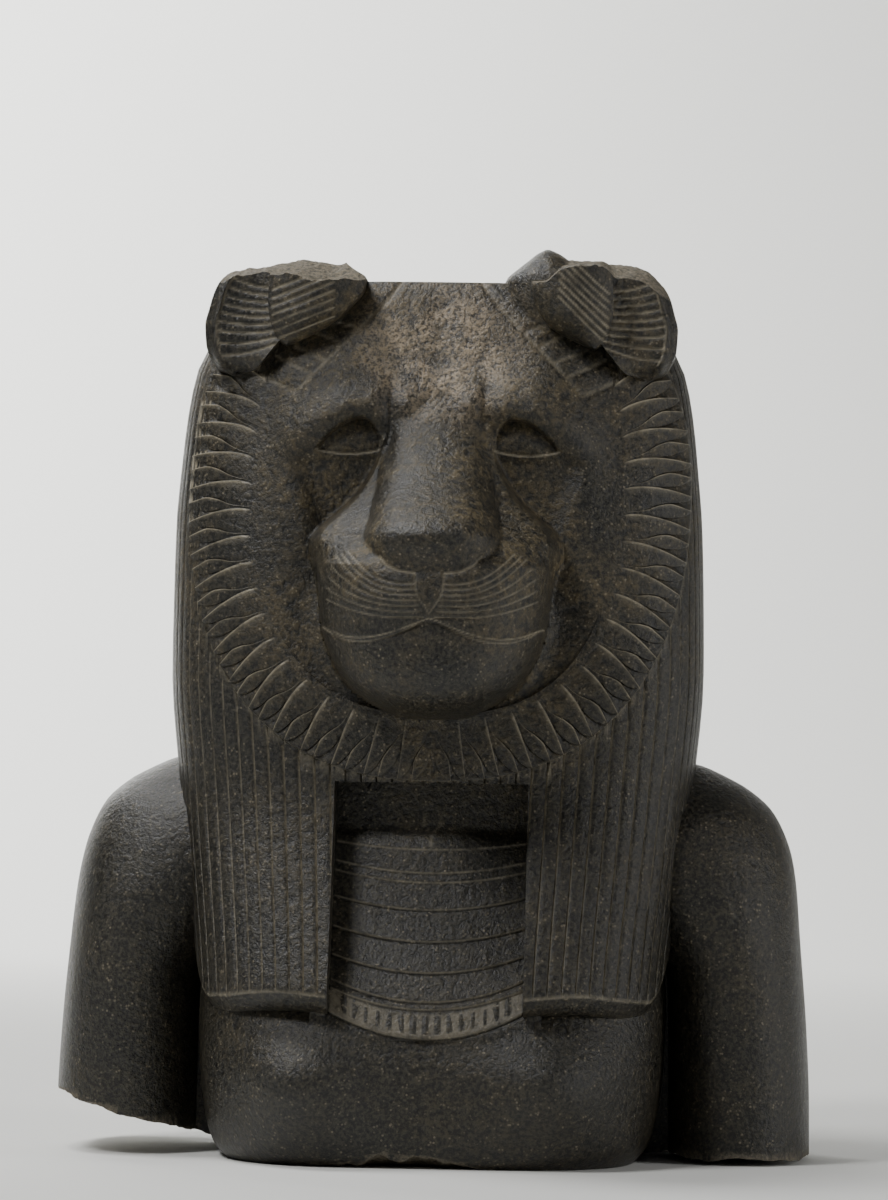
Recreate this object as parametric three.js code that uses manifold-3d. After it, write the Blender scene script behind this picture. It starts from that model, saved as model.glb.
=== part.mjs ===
import * as THREE from 'three';
import { mergeVertices } from 'three/addons/utils/BufferGeometryUtils.js';
import Module from 'manifold-3d';

// A lioness-headed stone bust, broken off at breast height and carved from one block.
// Millimetres, +Z up. The face looks along -Y, so "depth" below always means -Y.

const wasm = await Module();
wasm.setup();

// Overall sizes
const crownHeight = 597;
const pillarBack = 200;
const pillarHalfWidth = 65;
const pillarTop = 575;

// Wig: half-width, front and back depth and sideways lean against height
const wigHalfWidth = [[98, 160], [143, 164], [193, 170], [258, 177], [333, 183], [383, 182.5],
  [433, 181.3], [473, 178], [503, 174.9], [538, 168.3], [566, 152], [586, 128], [597, 102]];
const wigFront = [[98, 154], [111, 160], [143, 149], [193, 130], [256, 112], [303, 112],
  [345, 110], [391, 106], [444, 100], [492, 92], [545, 79], [580, 70], [597, 60]];
const wigBack = [[98, 150], [185, 160], [300, 165], [400, 165], [500, 158], [545, 145], [580, 120],
  [597, 92]];
const wigLean = [[98, 0], [300, -0.6], [383, -1], [450, -1.6], [538, -1.8], [575, -0.6], [597, 0]];
const wigFrontPower = 3.3;
const wigBackPower = 2.5;
const flutePitch = 10.4;
const fluteRelief = 1.3;
const lappetInner = 65;
const lappetEnd = 110;
const lappetArch = 6;
const backEnd = 186;

// Mane: the ruff line inside it and the rim outside it, both about one centre
const maneCentre = 458;
const ruffHalfWidth = 122;
const ruffDrop = 156;
const ruffPower = 2.6;
const rimHalfWidth = 172;
const rimDrop = 201;
const rimRise = 150;
const rimPower = 2.35;
const maneLift = 5;
const ruffStep = 3;
const locksPerSide = 17;
const lockRelief = 2.8;
const lockBow = 3.5;
const maneTop = 0.5;

// Face: skin level on the midline, then the muzzle mass and the nose that stand out from it
const skinDepth = [[297, 110], [340, 105], [380, 100], [420, 98], [450, 98], [478, 101], [500, 104],
  [515, 102], [545, 89], [575, 77], [590, 70], [597, 65]];
const muzzleHalfWidth = [[299, 20], [304, 31], [310, 43], [321, 58], [341, 70], [360, 76], [380, 78],
  [400, 78.5], [413, 78], [423, 74], [434, 64], [446, 53], [462, 43.6], [478, 37.5], [500, 35]];
const muzzleDepth = [[298, 112], [303, 150], [309, 168], [318, 178], [330, 183], [341, 185.5],
  [352, 187], [361, 187], [368, 189], [378, 192], [390, 191], [402, 186], [412, 178], [418, 169],
  [434, 148], [446, 135], [462, 121], [478, 111], [500, 105]];
const muzzleEdge = [[390, 104], [404, 112], [413, 130], [418, 136], [423, 134], [434, 126.5],
  [446, 118], [462, 110.5], [478, 106], [500, 104.5]];
const muzzlePower = [[400, 3], [425, 1.7]];
const muzzleFall = [[400, 0.476], [425, 1]];
const noseDepth = [[386, 172], [391, 185], [398, 190], [406, 193.5], [413, 196.5], [419, 198],
  [424, 195], [431, 186], [441, 172], [456, 150], [476, 128], [492, 116], [506, 111], [520, 104],
  [530, 99]];
const noseHalfWidth = [[386, 35], [413, 35], [430, 31.5], [450, 30.5], [480, 31.5], [500, 32],
  [530, 29]];

// Eyes, brows and the hollow of the cheek under each eye
const eyeInner = 39;
const eyeOuter = 82;
const eyeFloor = 480;
const eyeRise = 21.5;
const eyePeak = 0.27;
const eyeSag = 3;
const browHeight = 510;
const browDrop = 22;
const browRise = 5;
const cheekHollow = 4.5;

// Ears: edges of the leaf and of the tuft, how high each is left standing, and the whole knob
const pinnaOuter = [[531, 143], [535, 152], [542, 156.5], [551, 160], [565, 161], [576, 158.5],
  [588, 155], [602, 147], [612, 140], [620, 128]];
const pinnaInner = [[531, 137], [535, 126], [546, 116], [551, 112], [560, 106], [620, 106]];
const tuftOuter = [[550.5, 108], [552, 111], [555, 113], [562, 114.5], [620, 114.5]];
const leftTuftInner = [[550.5, 105], [556, 92], [566, 74], [577, 62], [590, 52.5], [598, 51.5],
  [605, 60.5], [610, 66], [620, 72]];
const rightTuftInner = [[550.5, 105], [556, 92], [566, 74], [577, 66], [590, 62], [620, 62]];
const leftEarTop = [[40, 609], [95, 610.5], [115, 607.5], [138, 605], [150, 600], [172, 588]];
const rightEarTop = [[40, 600], [70, 604], [84, 612.5], [105, 613.5], [127, 610.5], [140, 605.5],
  [147, 601], [172, 575]];
const leftEarSlope = [[60, 14], [85, 16], [105, 11], [120, 9], [160, 8]];
const rightEarSlope = [[84, 8], [110, 7], [120, 13], [160, 15]];
const earKnob = [[560, 36, 20, 76], [590, 34, 27, 76], [600, 30, 26, 73.5], [607, 22, 22, 73],
  [613, 14, 17, 72.5], [617.5, 8, 11, 72], [620.5, 2, 3, 71.5]];

// Chest between the lappets: height, sag and relief of each collar band, then the neck's rows
const chestDepth = [[72, 143], [83, 144], [86, 147], [100, 142], [150, 122], [196, 106], [219, 98],
  [224, 91], [256, 88], [280, 84]];
const collarBands = [[85.5, 18, 1.2], [104.5, 14, 0.8], [109.5, 15, 1], [128.5, 12, 1.1],
  [149, 10, 1.1], [170, 9, 1], [188, 8, 0.6], [194.5, 8, 0.6], [210, 5, 0.5]];
const neckRows = [[219, 4], [222, 3], [224, 2.5], [240, 1], [275, 0]];
const dropCount = 15;
const dropPitch = 7.8;
const dropLow = 87.5;
const dropTall = 15;

// Torso
const torsoHalfWidth = [[0, 141], [10, 149], [30, 155], [66, 159], [104, 160], [150, 156],
  [200, 146], [276, 112]];
const torsoFront = [[0, 140], [10, 147], [30, 150], [58, 150], [84, 145], [104, 138], [150, 118],
  [200, 98], [276, 70]];
const torsoBack = [[0, 122], [30, 126], [120, 128], [200, 124], [276, 100]];
const breastOut = 88;
const breastHeight = 56;
const breastBulge = 20;

// Arms
const armOuter = [[-6, 260], [40, 259.4], [88, 257], [136, 253], [178, 248.5], [206, 243], [223, 237.5],
  [240, 229], [254, 214], [263, 198], [270, 182], [275, 160]];
const armInner = [[-6, 162], [120, 160], [150, 146], [200, 110], [275, 60]];
const armFront = [[-6, 72], [100, 74], [173, 76], [208, 70], [233, 60], [251, 45], [263, 33],
  [270, 24], [275, 12]];
const armBack = [[-6, 88], [100, 92], [190, 90], [230, 80], [255, 66], [275, 40]];
const leftShoulderSwell = 1;
const rightShoulderSwell = 3;

// Height along a table of [height, value] pairs, rounded through its points.
function along(table, at) {
  const last = table.length - 1;
  if (at <= table[0][0]) return table[0][1];
  if (at >= table[last][0]) return table[last][1];
  let i = 0;
  while (at > table[i + 1][0]) i += 1;
  const slope = (k) => (table[k + 1][1] - table[k][1]) / (table[k + 1][0] - table[k][0]);
  const tangent = (k) => {
    if (k === 0) return slope(0);
    if (k === last) return slope(last - 1);
    const before = slope(k - 1);
    const after = slope(k);
    return before * after <= 0 ? 0 : (2 * before * after) / (before + after);
  };
  const span = table[i + 1][0] - table[i][0];
  const t = (at - table[i][0]) / span;
  const a = table[i][1];
  const b = table[i + 1][1];
  const rise = t * t * (3 - 2 * t);
  return a + (b - a) * rise + span * t * (1 - t) * ((1 - t) * tangent(i) - t * tangent(i + 1));
}

const mix = (a, b, t) => a + (b - a) * t;
const clamp = (value, low, high) => Math.min(high, Math.max(low, value));
const ease = (low, high, value) => {
  const t = clamp((value - low) / (high - low), 0, 1);
  return t * t * (3 - 2 * t);
};
const bell = (distance, width) => Math.exp(-((distance / width) ** 2));
const uneven = (i, j) => Math.abs(Math.sin(i * 12.9898 + j * 78.233) * 43758.5453) % 1;

// A closed solid from points and triangles.
function solidFrom(points, faces) {
  const geometry = new THREE.BufferGeometry();
  geometry.setAttribute('position', new THREE.Float32BufferAttribute(points.flat(), 3));
  geometry.setIndex(faces.flat());
  const merged = mergeVertices(geometry, 1e-4);
  return new wasm.Manifold(new wasm.Mesh({
    numProp: 3,
    vertProperties: merged.attributes.position.array,
    triVerts: new Uint32Array(merged.index.array),
  }));
}

const middle = (ring) => ring
  .reduce((sum, p) => [sum[0] + p[0], sum[1] + p[1], sum[2] + p[2]], [0, 0, 0])
  .map((value) => value / ring.length);

// Rings stacked along an axis, counterclockwise as seen against it, closed at both ends.
function ringSolid(rings, endPoint = middle(rings[rings.length - 1])) {
  const count = rings[0].length;
  const points = [...rings.flat(), middle(rings[0]), endPoint];
  const first = points.length - 2;
  const end = points.length - 1;
  const top = (rings.length - 1) * count;
  const faces = [];
  for (let j = 0; j < count; j += 1) {
    const next = (j + 1) % count;
    faces.push([first, next, j], [end, top + j, top + next]);
    for (let k = 0; k < top; k += count) {
      faces.push([k + j, k + next, k + count + next], [k + j, k + count + next, k + count + j]);
    }
  }
  return solidFrom(points, faces);
}

// A slab between two grids of the same shape; the outward face has rows up and columns to the right.
function slab(front, back) {
  const rows = front.length;
  const columns = front[0].length;
  const behind = rows * columns;
  const points = [...front.flat(), ...back.flat()];
  const faces = [];
  const at = (r, c) => r * columns + c;
  const quad = (a, b, c, d) => faces.push([a, b, c], [a, c, d]);
  for (let r = 0; r + 1 < rows; r += 1) {
    for (let c = 0; c + 1 < columns; c += 1) {
      const [p, q, s, t] = [at(r, c), at(r, c + 1), at(r + 1, c + 1), at(r + 1, c)];
      quad(p, q, s, t);
      quad(behind + q, behind + p, behind + t, behind + s);
    }
    const [rightLow, rightHigh] = [at(r, columns - 1), at(r + 1, columns - 1)];
    const [leftLow, leftHigh] = [at(r, 0), at(r + 1, 0)];
    quad(rightLow, behind + rightLow, behind + rightHigh, rightHigh);
    quad(behind + leftLow, leftLow, leftHigh, behind + leftHigh);
  }
  for (let c = 0; c + 1 < columns; c += 1) {
    const [low, lowNext] = [at(0, c), at(0, c + 1)];
    const [high, highNext] = [at(rows - 1, c), at(rows - 1, c + 1)];
    quad(behind + low, behind + lowNext, lowNext, low);
    quad(high, highNext, behind + highNext, behind + high);
  }
  return solidFrom(points, faces);
}

const grid = (rows, columns, place) => Array.from({ length: rows + 1 }, (_, r) => (
  Array.from({ length: columns + 1 }, (__, c) => place(r / rows, c / columns, r, c))));

// Points laid out for the right side, with each row turned round for the left.
const facing = (side, rows) => (side > 0 ? rows : rows.map((row) => [...row].reverse()));

function box(low, high) {
  const geometry = new THREE.BoxGeometry(high[0] - low[0], high[1] - low[1], high[2] - low[2]);
  geometry.translate((low[0] + high[0]) / 2, (low[1] + high[1]) / 2, (low[2] + high[2]) / 2);
  geometry.deleteAttribute('normal');
  geometry.deleteAttribute('uv');
  const merged = mergeVertices(geometry, 1e-4);
  return new wasm.Manifold(new wasm.Mesh({
    numProp: 3,
    vertProperties: merged.attributes.position.array,
    triVerts: new Uint32Array(merged.index.array),
  }));
}

const union = (solids) => solids.reduce((all, one) => all.add(one));

// Rounded-square plan: a point at an angle, with its own half-width, front, back and powers.
function planPoint(angle, halfWidth, front, back, frontPower, backPower) {
  const c = Math.cos(angle);
  const s = Math.sin(angle);
  const power = s < 0 ? frontPower : backPower;
  const x = Math.sign(c) * halfWidth * Math.abs(c) ** (2 / power);
  const y = Math.sign(s) * (s < 0 ? front : back) * Math.abs(s) ** (2 / power);
  return [x, y];
}

// Depth of the wig's front at a place on it.
function wigDepthAt(x, z) {
  const share = Math.min(1, Math.abs(x) / along(wigHalfWidth, z));
  return along(wigFront, z) * (1 - share ** wigFrontPower) ** (1 / wigFrontPower);
}

// Angles round the wig that space the flutes evenly, from the middle of the back all the way round.
function fluteAngles() {
  const samples = 4000;
  const places = [];
  let run = 0;
  let before = null;
  for (let i = 0; i <= samples; i += 1) {
    const angle = Math.PI / 2 + (i / samples) * Math.PI * 2;
    const here = planPoint(angle, 176, 118, 163, wigFrontPower, wigBackPower);
    if (before) run += Math.hypot(here[0] - before[0], here[1] - before[1]);
    places.push([run, angle]);
    before = here;
  }
  const columns = 2 * Math.round(run / flutePitch);
  const spaced = Array.from({ length: columns }, (_, i) => {
    const goal = (run * i) / columns;
    const found = places.findIndex((place) => place[0] >= goal);
    return { angle: places[found][1], groove: i % 2 === 1 };
  });
  return spaced.filter(({ angle }, i) => {
    const [x] = planPoint(angle, 176, 118, 163, wigFrontPower, wigBackPower);
    const shown = Math.abs(x) > lappetInner - 12;
    return shown ? Math.sin(angle) < 0.3 || i % 4 < 2 : i % 6 === 0;
  });
}

// The wig: a tapering fluted mass, with arched lappet ends in front and a straight end behind.
function makeWig() {
  const flutes = fluteAngles();
  const ring = (share, sink) => flutes.map(({ angle, groove }) => {
    const s = Math.sin(angle);
    const arch = lappetEnd + lappetArch * bell(Math.abs(Math.cos(angle)) - 0.45, 0.3);
    const end = mix(arch, backEnd, ease(-0.5, 0.15, s));
    const z = share < 0 ? end - 9 : mix(end, crownHeight, share);
    const carved = ease(0, 0.02, share) * (1 - ease(0.96, 1, share)) * fluteRelief;
    const [x, y] = planPoint(
      angle,
      along(wigHalfWidth, z),
      along(wigFront, z),
      along(wigBack, z),
      wigFrontPower,
      wigBackPower,
    );
    const reach = Math.hypot(x, y);
    const scale = 1 - (sink + (groove ? carved : 0)) / reach;
    return [x * scale + along(wigLean, z), y * scale, z];
  });
  const shares = [0, 0.17, 0.33, 0.66, 0.86, 0.955, 1];
  return ringSolid([ring(-1, 10), ...shares.map((share) => ring(share, 0))]);
}

// Radius of a rounded oval about the mane's centre, at an angle measured from +X.
function ovalRadius(angle, halfWidth, rise, drop, power) {
  const c = Math.abs(Math.cos(angle)) / halfWidth;
  const s = Math.abs(Math.sin(angle)) / (Math.sin(angle) > 0 ? rise : drop);
  return (c ** power + s ** power) ** (-1 / power);
}

const ruffRadius = (angle) => ovalRadius(angle, ruffHalfWidth, rimRise, ruffDrop, ruffPower);
const rimRadius = (angle) => ovalRadius(angle, rimHalfWidth, rimRise, rimDrop, rimPower);

// Angles that share an oval evenly from its lowest point up to the ears.
function evenAngles(radius, steps) {
  const samples = 800;
  const top = maneTop;
  const places = [[0, -Math.PI / 2]];
  let run = 0;
  for (let i = 1; i <= samples; i += 1) {
    const [a, b] = [i - 1, i].map((k) => -Math.PI / 2 + (k / samples) * (Math.PI / 2 + top));
    run += Math.hypot(
      radius(b) * Math.cos(b) - radius(a) * Math.cos(a),
      radius(b) * Math.sin(b) - radius(a) * Math.sin(a),
    );
    places.push([run, b]);
  }
  return Array.from({ length: steps + 1 }, (_, i) => (
    places.find((place) => place[0] >= (run * i) / steps - 1e-9)[1]));
}

// The almond of an eye: height of its upper and lower edge, from the inner corner out.
const lidHeight = (w) => {
  const inner = Math.sqrt(1 - clamp((eyePeak - w) / (eyePeak + 0.02), 0, 1) ** 2);
  const outer = 1 - clamp((w - eyePeak) / (1 - eyePeak), 0, 1) ** 1.9;
  return eyeFloor + eyeRise * (w < eyePeak ? inner : outer);
};
const lowerLidHeight = (w) => eyeFloor - eyeSag * Math.sin(Math.PI * w);

// Depth of the brow, cheeks and forehead, before the muzzle stands out from them.
function skinAt(x, z) {
  const out = Math.abs(x);
  const share = out / along(wigHalfWidth, z);
  const edge = wigDepthAt(x, z) + maneLift - ruffStep;
  let depth = mix(along(skinDepth, z), edge, ease(0.35, 0.7, share));
  depth -= 7 * (share ** 2) * ease(540, 597, z);
  depth -= 1.6 * bell(x, 10) * ease(515, 540, z) * (1 - ease(570, 597, z));
  depth += 4 * bell(out - 22, 9) * bell(z - 511, 10);
  const browLine = browHeight - browDrop * clamp((out - 48) / 50, 0, 1) ** 1.6;
  const brow = bell(z - browLine, z > browLine ? 20 : 13);
  depth += browRise * brow * ease(27, 46, out) * (1 - ease(88, 120, out));
  const hollowOut = mix(82, 99, clamp((z - 425) / 50, 0, 1));
  const hollow = (1 - ease(hollowOut - 12, hollowOut + 7, out)) * ease(412, 430, z);
  return depth - cheekHollow * hollow * (1 - ease(470, 482, z));
}

// Depth of the muzzle and chin, as a share of the way out to their edge.
function muzzleAt(share, x, z) {
  const edge = mix(skinAt(x, z) - 0.5, along(muzzleEdge, z), ease(398, 414, z));
  const swell = (1 - Math.min(1, Math.abs(share)) ** along(muzzlePower, z)) ** along(muzzleFall, z);
  return edge + (along(muzzleDepth, z) - edge) * swell;
}

const noseAt = (share, z) => along(noseDepth, z) - 9 * share ** 2 - 4 * share ** 6;

function faceDepth(x, z) {
  const share = x / along(muzzleHalfWidth, z);
  const noseShare = x / along(noseHalfWidth, z);
  let depth = skinAt(x, z);
  if (Math.abs(share) < 1 && z > 299 && z < 500) depth = Math.max(depth, muzzleAt(share, x, z));
  if (Math.abs(noseShare) < 1.5 && z > 387 && z < 526) depth = Math.max(depth, noseAt(noseShare, z));
  return depth;
}

// The face: skin as rays out from between the eyes, then the muzzle and the nose laid over it.
function makeFace() {
  const rays = 48;
  const centre = 450;
  const shares = [1, 0.9, 0.8, 0.7, 0.6, 0.5, 0.4, 0.3, 0.15];
  const inside = (x, z) => {
    const angle = Math.atan2(z - maneCentre, x);
    return z < crownHeight && Math.hypot(x, z - maneCentre) < ruffRadius(angle) + 4;
  };
  const edgeRadius = Array.from({ length: rays }, (_, j) => {
    const angle = (j / rays) * Math.PI * 2;
    let [low, high] = [0, 260];
    for (let i = 0; i < 40; i += 1) {
      const half = (low + high) / 2;
      if (inside(half * Math.cos(angle), centre + half * Math.sin(angle))) low = half;
      else high = half;
    }
    return low;
  });
  const ring = (share, depthAt) => edgeRadius.map((radius, j) => {
    const angle = (j / rays) * Math.PI * 2;
    const x = radius * share * Math.cos(angle);
    const z = centre + radius * share * Math.sin(angle);
    return [x, -depthAt(x, z), z];
  });
  const rings = [ring(1, () => -20), ...shares.map((share) => ring(share, skinAt))];
  const skin = ringSolid(rings, [0, -skinAt(0, centre), centre]);
  const fan = (steps, reach) => [-reach, ...Array.from({ length: 2 * steps + 1 }, (_, i) => (
    Math.sin(((i - steps) / (steps + 0.6)) * Math.PI * 0.5))), reach];
  const muzzleRows = [299, 303, 309, 318, 330, 345, 357, 368, 380, 392, 403, 413, 423, 434, 447,
    462, 480, 499];
  const muzzle = muzzleRows.map((z) => fan(5, 1).map((share) => {
    const x = share * along(muzzleHalfWidth, z);
    return [x, -muzzleAt(share, x, z), z];
  }));
  const noseRows = [387, 391, 398, 408, 419, 425, 433, 444, 458, 476, 492, 508, 526];
  const nose = noseRows.map((z) => fan(3, 1.5).map((share) => {
    const x = share * along(noseHalfWidth, z);
    return [x, -noseAt(share, z), z];
  }));
  const deep = (rows) => rows.map((row) => row.map(([x, , z]) => [x, -60, z]));
  return union([skin, slab(muzzle, deep(muzzle)), slab(nose, deep(nose))]);
}

// The mane: a band of locks from ear to ear, each splitting into two pointed tips at the rim.
function makeMane() {
  const steps = locksPerSide * 4;
  const inner = evenAngles(ruffRadius, steps);
  const outer = evenAngles(rimRadius, steps);
  const columns = [];
  for (let i = steps; i >= -steps; i -= 1) columns.push(i);
  const shares = [0, 0.42, 0.84, 1];
  const front = shares.map((share) => columns.map((column) => {
    const side = column < 0 ? -1 : 1;
    const i = Math.abs(column);
    const kind = i % 4;
    const notch = kind === 0 ? 9 : 6;
    const reach = (rimRadius(outer[i]) - (kind % 2 === 0 && share === 1 ? notch : 0));
    const bow = (lockBow * 4 * share * (1 - share)) / reach;
    const angle = mix(inner[i], outer[i], share) + bow;
    const radius = mix(ruffRadius(inner[i]), reach, share);
    const x = side * radius * Math.cos(angle);
    const z = maneCentre + radius * Math.sin(angle);
    const between = kind === 0 || (kind === 2 && share > 0.3);
    const carved = between && share > 0 ? lockRelief : 0;
    const lift = maneLift - (share === 1 ? 1.6 : 0) - carved;
    return [x, -(wigDepthAt(x, z) + lift), z];
  }));
  const back = front.map((row) => row.map(([x, , z]) => [x, -20, z]));
  return slab(front, back);
}

// Space in the wig that the face and the mane fill.
function facePocket() {
  const rays = 48;
  const ring = (depth, inset) => Array.from({ length: rays }, (_, j) => {
    const angle = (j / rays) * Math.PI * 2;
    const high = angle > maneTop - 0.03 && angle < Math.PI - maneTop + 0.03;
    const radius = (high ? ruffRadius(angle) : rimRadius(angle) - 8) - inset;
    const z = Math.min(maneCentre + radius * Math.sin(angle), crownHeight - 14);
    return [radius * Math.cos(angle), -depth, z];
  });
  return ringSolid([ring(38, 8), ring(260, 4)]);
}

// A shallow V cut into a front surface along a line of places on it.
function groove(places, depthAt, width, cut) {
  const rings = places.map(([x, z], i) => {
    const before = places[Math.max(0, i - 1)];
    const after = places[Math.min(places.length - 1, i + 1)];
    const length = Math.hypot(after[0] - before[0], after[1] - before[1]);
    const across = [(before[1] - after[1]) / length, (after[0] - before[0]) / length];
    const y = -depthAt(x, z);
    return [
      [x + across[0] * width, y - cut, z + across[1] * width],
      [x - across[0] * width, y - cut, z - across[1] * width],
      [x, y + cut, z],
    ];
  });
  return ringSolid(rings);
}

// The eyeball set back inside the lids.
function eyeSocket(side) {
  const steps = 14;
  const outline = (inset, depth) => Array.from({ length: steps }, (_, j) => {
    const t = j / steps;
    const upper = t >= 0.5;
    const w = upper ? (1 - t) * 2 : t * 2;
    const x = eyeInner + (eyeOuter - eyeInner) * w;
    const z = upper ? lidHeight(w) : lowerLidHeight(w);
    const [cx, cz] = [eyeInner + 20, eyeFloor + 11];
    return [side * mix(x, cx, inset), -depth(x, z), mix(z, cz, inset)];
  });
  const floor = (x, z) => faceDepth(x, z) - 1.5 - 2.5 * ease(eyeFloor, eyeFloor + eyeRise, z);
  const rings = [
    outline(0.03, floor),
    outline(0, (x, z) => faceDepth(x, z) + 0.5),
    outline(-0.1, (x, z) => faceDepth(x, z) + 8),
  ];
  return ringSolid(facing(side, rings));
}

function eyeball(side) {
  const steps = 14;
  const [cx, cz] = [eyeInner + 21, eyeFloor + 11];
  const outline = (inset, depth) => Array.from({ length: steps }, (_, j) => {
    const t = j / steps;
    const upper = t >= 0.5;
    const w = upper ? (1 - t) * 2 : t * 2;
    const x = mix(eyeInner + (eyeOuter - eyeInner) * w, cx, inset);
    const z = mix(upper ? lidHeight(w) : lowerLidHeight(w), cz, inset);
    return [side * x, -(faceDepth(x, z) + depth), z];
  });
  const rings = [outline(-0.1, -20), outline(0.16, -3.6), outline(0.4, -1.2), outline(0.7, -0.4)];
  return ringSolid(facing(side, rings));
}

// One ear: a cupped outer leaf with ribs, and a rounded tuft of hair beside it, broken off on top.
function makeEar(side) {
  const ribs = 8;
  const tuftInner = side > 0 ? rightTuftInner : leftTuftInner;
  const pinna = grid(ribs * 2, 3, (v, u, r) => {
    const z = mix(531, 620, v);
    const x = mix(along(pinnaInner, z), along(pinnaOuter, z), u);
    const dish = 3.5 * Math.sin(Math.PI * clamp(u * 1.15, 0, 1));
    const rib = r % 2 && u > 0.05 && u < 0.85 ? 1.3 : 0;
    const rounding = 10 * (1 - ease(531, 545, z)) + 7 * ease(0.8, 1, u) ** 2;
    return [side * x, -(86 - 7 * u - dish + rib - rounding), z];
  });
  const tuft = grid(12, 3, (v, u, r) => {
    const z = mix(550.5, 620, v);
    const x = mix(along(tuftInner, z), along(tuftOuter, z), u);
    const dome = Math.sin(Math.PI * clamp(0.1 + u * 0.76, 0, 1)) ** 0.75;
    const rib = r % 2 && u > 0.1 && u < 0.99 ? 1.2 : 0;
    const low = 1 - ease(550.5, 574, z);
    return [side * x, -(80 + 20 * dome * (1 - 0.7 * low) + rib), z];
  });
  const deep = (rows, depth) => rows.map((row) => row.map(([x, , z]) => [x, -depth, z]));
  return slab(facing(side, pinna), facing(side, deep(pinna, 34)))
    .add(slab(facing(side, tuft), facing(side, deep(tuft, 36))))
    .subtract(earBreak(side));
}

// The rough break across the top of an ear, sloping down towards the front.
function earBreak(side) {
  const [top, slope] = side > 0 ? [rightEarTop, rightEarSlope] : [leftEarTop, leftEarSlope];
  const under = grid(4, 8, (v, u, r, c) => {
    const y = mix(-125, 0, v);
    const out = mix(40, 172, u);
    const fall = along(slope, out) * ease(50, 92, -y);
    return [side * out, y, along(top, out) - fall + 2.6 * (uneven(r + 3 * side, c) - 0.5)];
  });
  const over = under.map((row) => row.map(([x, y]) => [x, y, 680]));
  return slab(facing(side, over), facing(side, under));
}

// The smooth knob at the inner side of the right ear, left whole by the break.
function makeKnob() {
  return ringSolid(earKnob.map(([z, halfWidth, halfDepth, centre]) => (
    Array.from({ length: 12 }, (_, j) => {
      const angle = (j / 12) * Math.PI * 2;
      return [centre + halfWidth * Math.cos(angle), -56 + halfDepth * Math.sin(angle), z];
    }))));
}

// Depth of the chest between the lappets, with a raised lip over a groove at each collar band.
function collarDepth(x, z) {
  const bend = (x / lappetInner) ** 2;
  return collarBands.reduce((depth, [line, sag, relief]) => {
    const over = z - line - sag * bend;
    return depth + relief * (0.9 * bell(over - 1.5, 1.7) - bell(over + 0.7, 1));
  }, along(chestDepth, z) - 5 * bend);
}

// The neck and the collar's bands as one slab, with a row of drops along its lower edge.
function makeCollar() {
  const columns = 6;
  const rows = [[62, 0]];
  collarBands.forEach(([line, sag]) => [-0.7, 1.5, 4].forEach((offset) => {
    if (line + offset > rows[rows.length - 1][0] + 0.3) rows.push([line + offset, sag]);
  }));
  rows.push(...neckRows);
  const front = rows.map(([height, sag]) => Array.from({ length: columns + 1 }, (_, c) => {
    const x = mix(-lappetInner - 12, lappetInner + 12, c / columns);
    const z = height + sag * (x / lappetInner) ** 2;
    return [x, -collarDepth(x, z), z];
  }));
  const back = front.map((row) => row.map(([x, , z]) => [x, -30, z]));
  const drops = Array.from({ length: dropCount }, (_, i) => {
    const x = (i - (dropCount - 1) / 2) * dropPitch;
    const low = dropLow + 17 * (x / lappetInner) ** 2;
    const ring = (height, width) => {
      const y = -collarDepth(x, height) - 1.4;
      return [[x + width, y + 3, height], [x - width, y + 3, height], [x, y, height]];
    };
    return ringSolid([ring(low, 3.2), ring(low + dropTall, 1)]);
  });
  return slab(front, back).add(union(drops));
}

// The torso, with the breasts swelling below the lappets.
function makeTorso() {
  const around = 36;
  const heights = [0, 4, 14, 30, 50, 70, 90, 108, 160, 276];
  const rings = heights.map((z) => Array.from({ length: around }, (_, j) => {
    const angle = (j / around) * Math.PI * 2;
    const [halfWidth, depth, back] = [torsoHalfWidth, torsoFront, torsoBack].map((table) => along(table, z));
    const [x, y] = planPoint(angle, halfWidth, depth, back, 3.4, 3.4);
    const front = ease(0.25, 0.9, -Math.sin(angle));
    const swell = breastBulge * bell(Math.abs(x) - breastOut, 44) * bell(z - breastHeight, 36) * front;
    return [x, y - swell, z];
  }));
  return ringSolid(rings);
}

// An arm, from the shoulder down to just below where it is broken.
function makeArm(side) {
  const around = 18;
  const heights = [-6, 70, 130, 178, 208, 230, 246, 258, 268, 275];
  const rings = heights.map((z) => {
    const swell = (side > 0 ? rightShoulderSwell : leftShoulderSwell) * bell(z - 215, 38);
    const [outer, inner] = [along(armOuter, z) + swell, along(armInner, z)];
    const half = (outer - inner) / 2;
    return Array.from({ length: around }, (_, j) => {
      const angle = (j / around) * Math.PI * 2;
      const [x, y] = planPoint(angle, half, along(armFront, z), along(armBack, z), 2.25, 2.25);
      return [side * ((outer + inner) / 2) + x, y, z];
    });
  });
  return ringSolid(rings);
}

// Stone left standing between an arm and the body.
function armWeb(side) {
  const rings = [-6, 230].map((z) => [[130, -18], [190, -18], [190, 66], [130, 66]]
    .map(([x, y]) => [side * x, y, z]));
  return ringSolid(facing(side, rings));
}

// What is missing below a broken arm: rough, and rising from the body outwards.
function armBreak(side, innerHeight, outerHeight) {
  const surface = grid(4, 5, (v, u, r, c) => {
    const out = mix(128, 275, u);
    const rough = 5 * (uneven(r + 11 + 7 * side, c + 5) - 0.5);
    return [side * out, mix(-95, 110, v), mix(innerHeight, outerHeight, u) + rough];
  });
  const below = surface.map((row) => row.map(([x, y]) => [x, y, -20]));
  return slab(facing(side, surface), facing(side, below));
}

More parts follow.
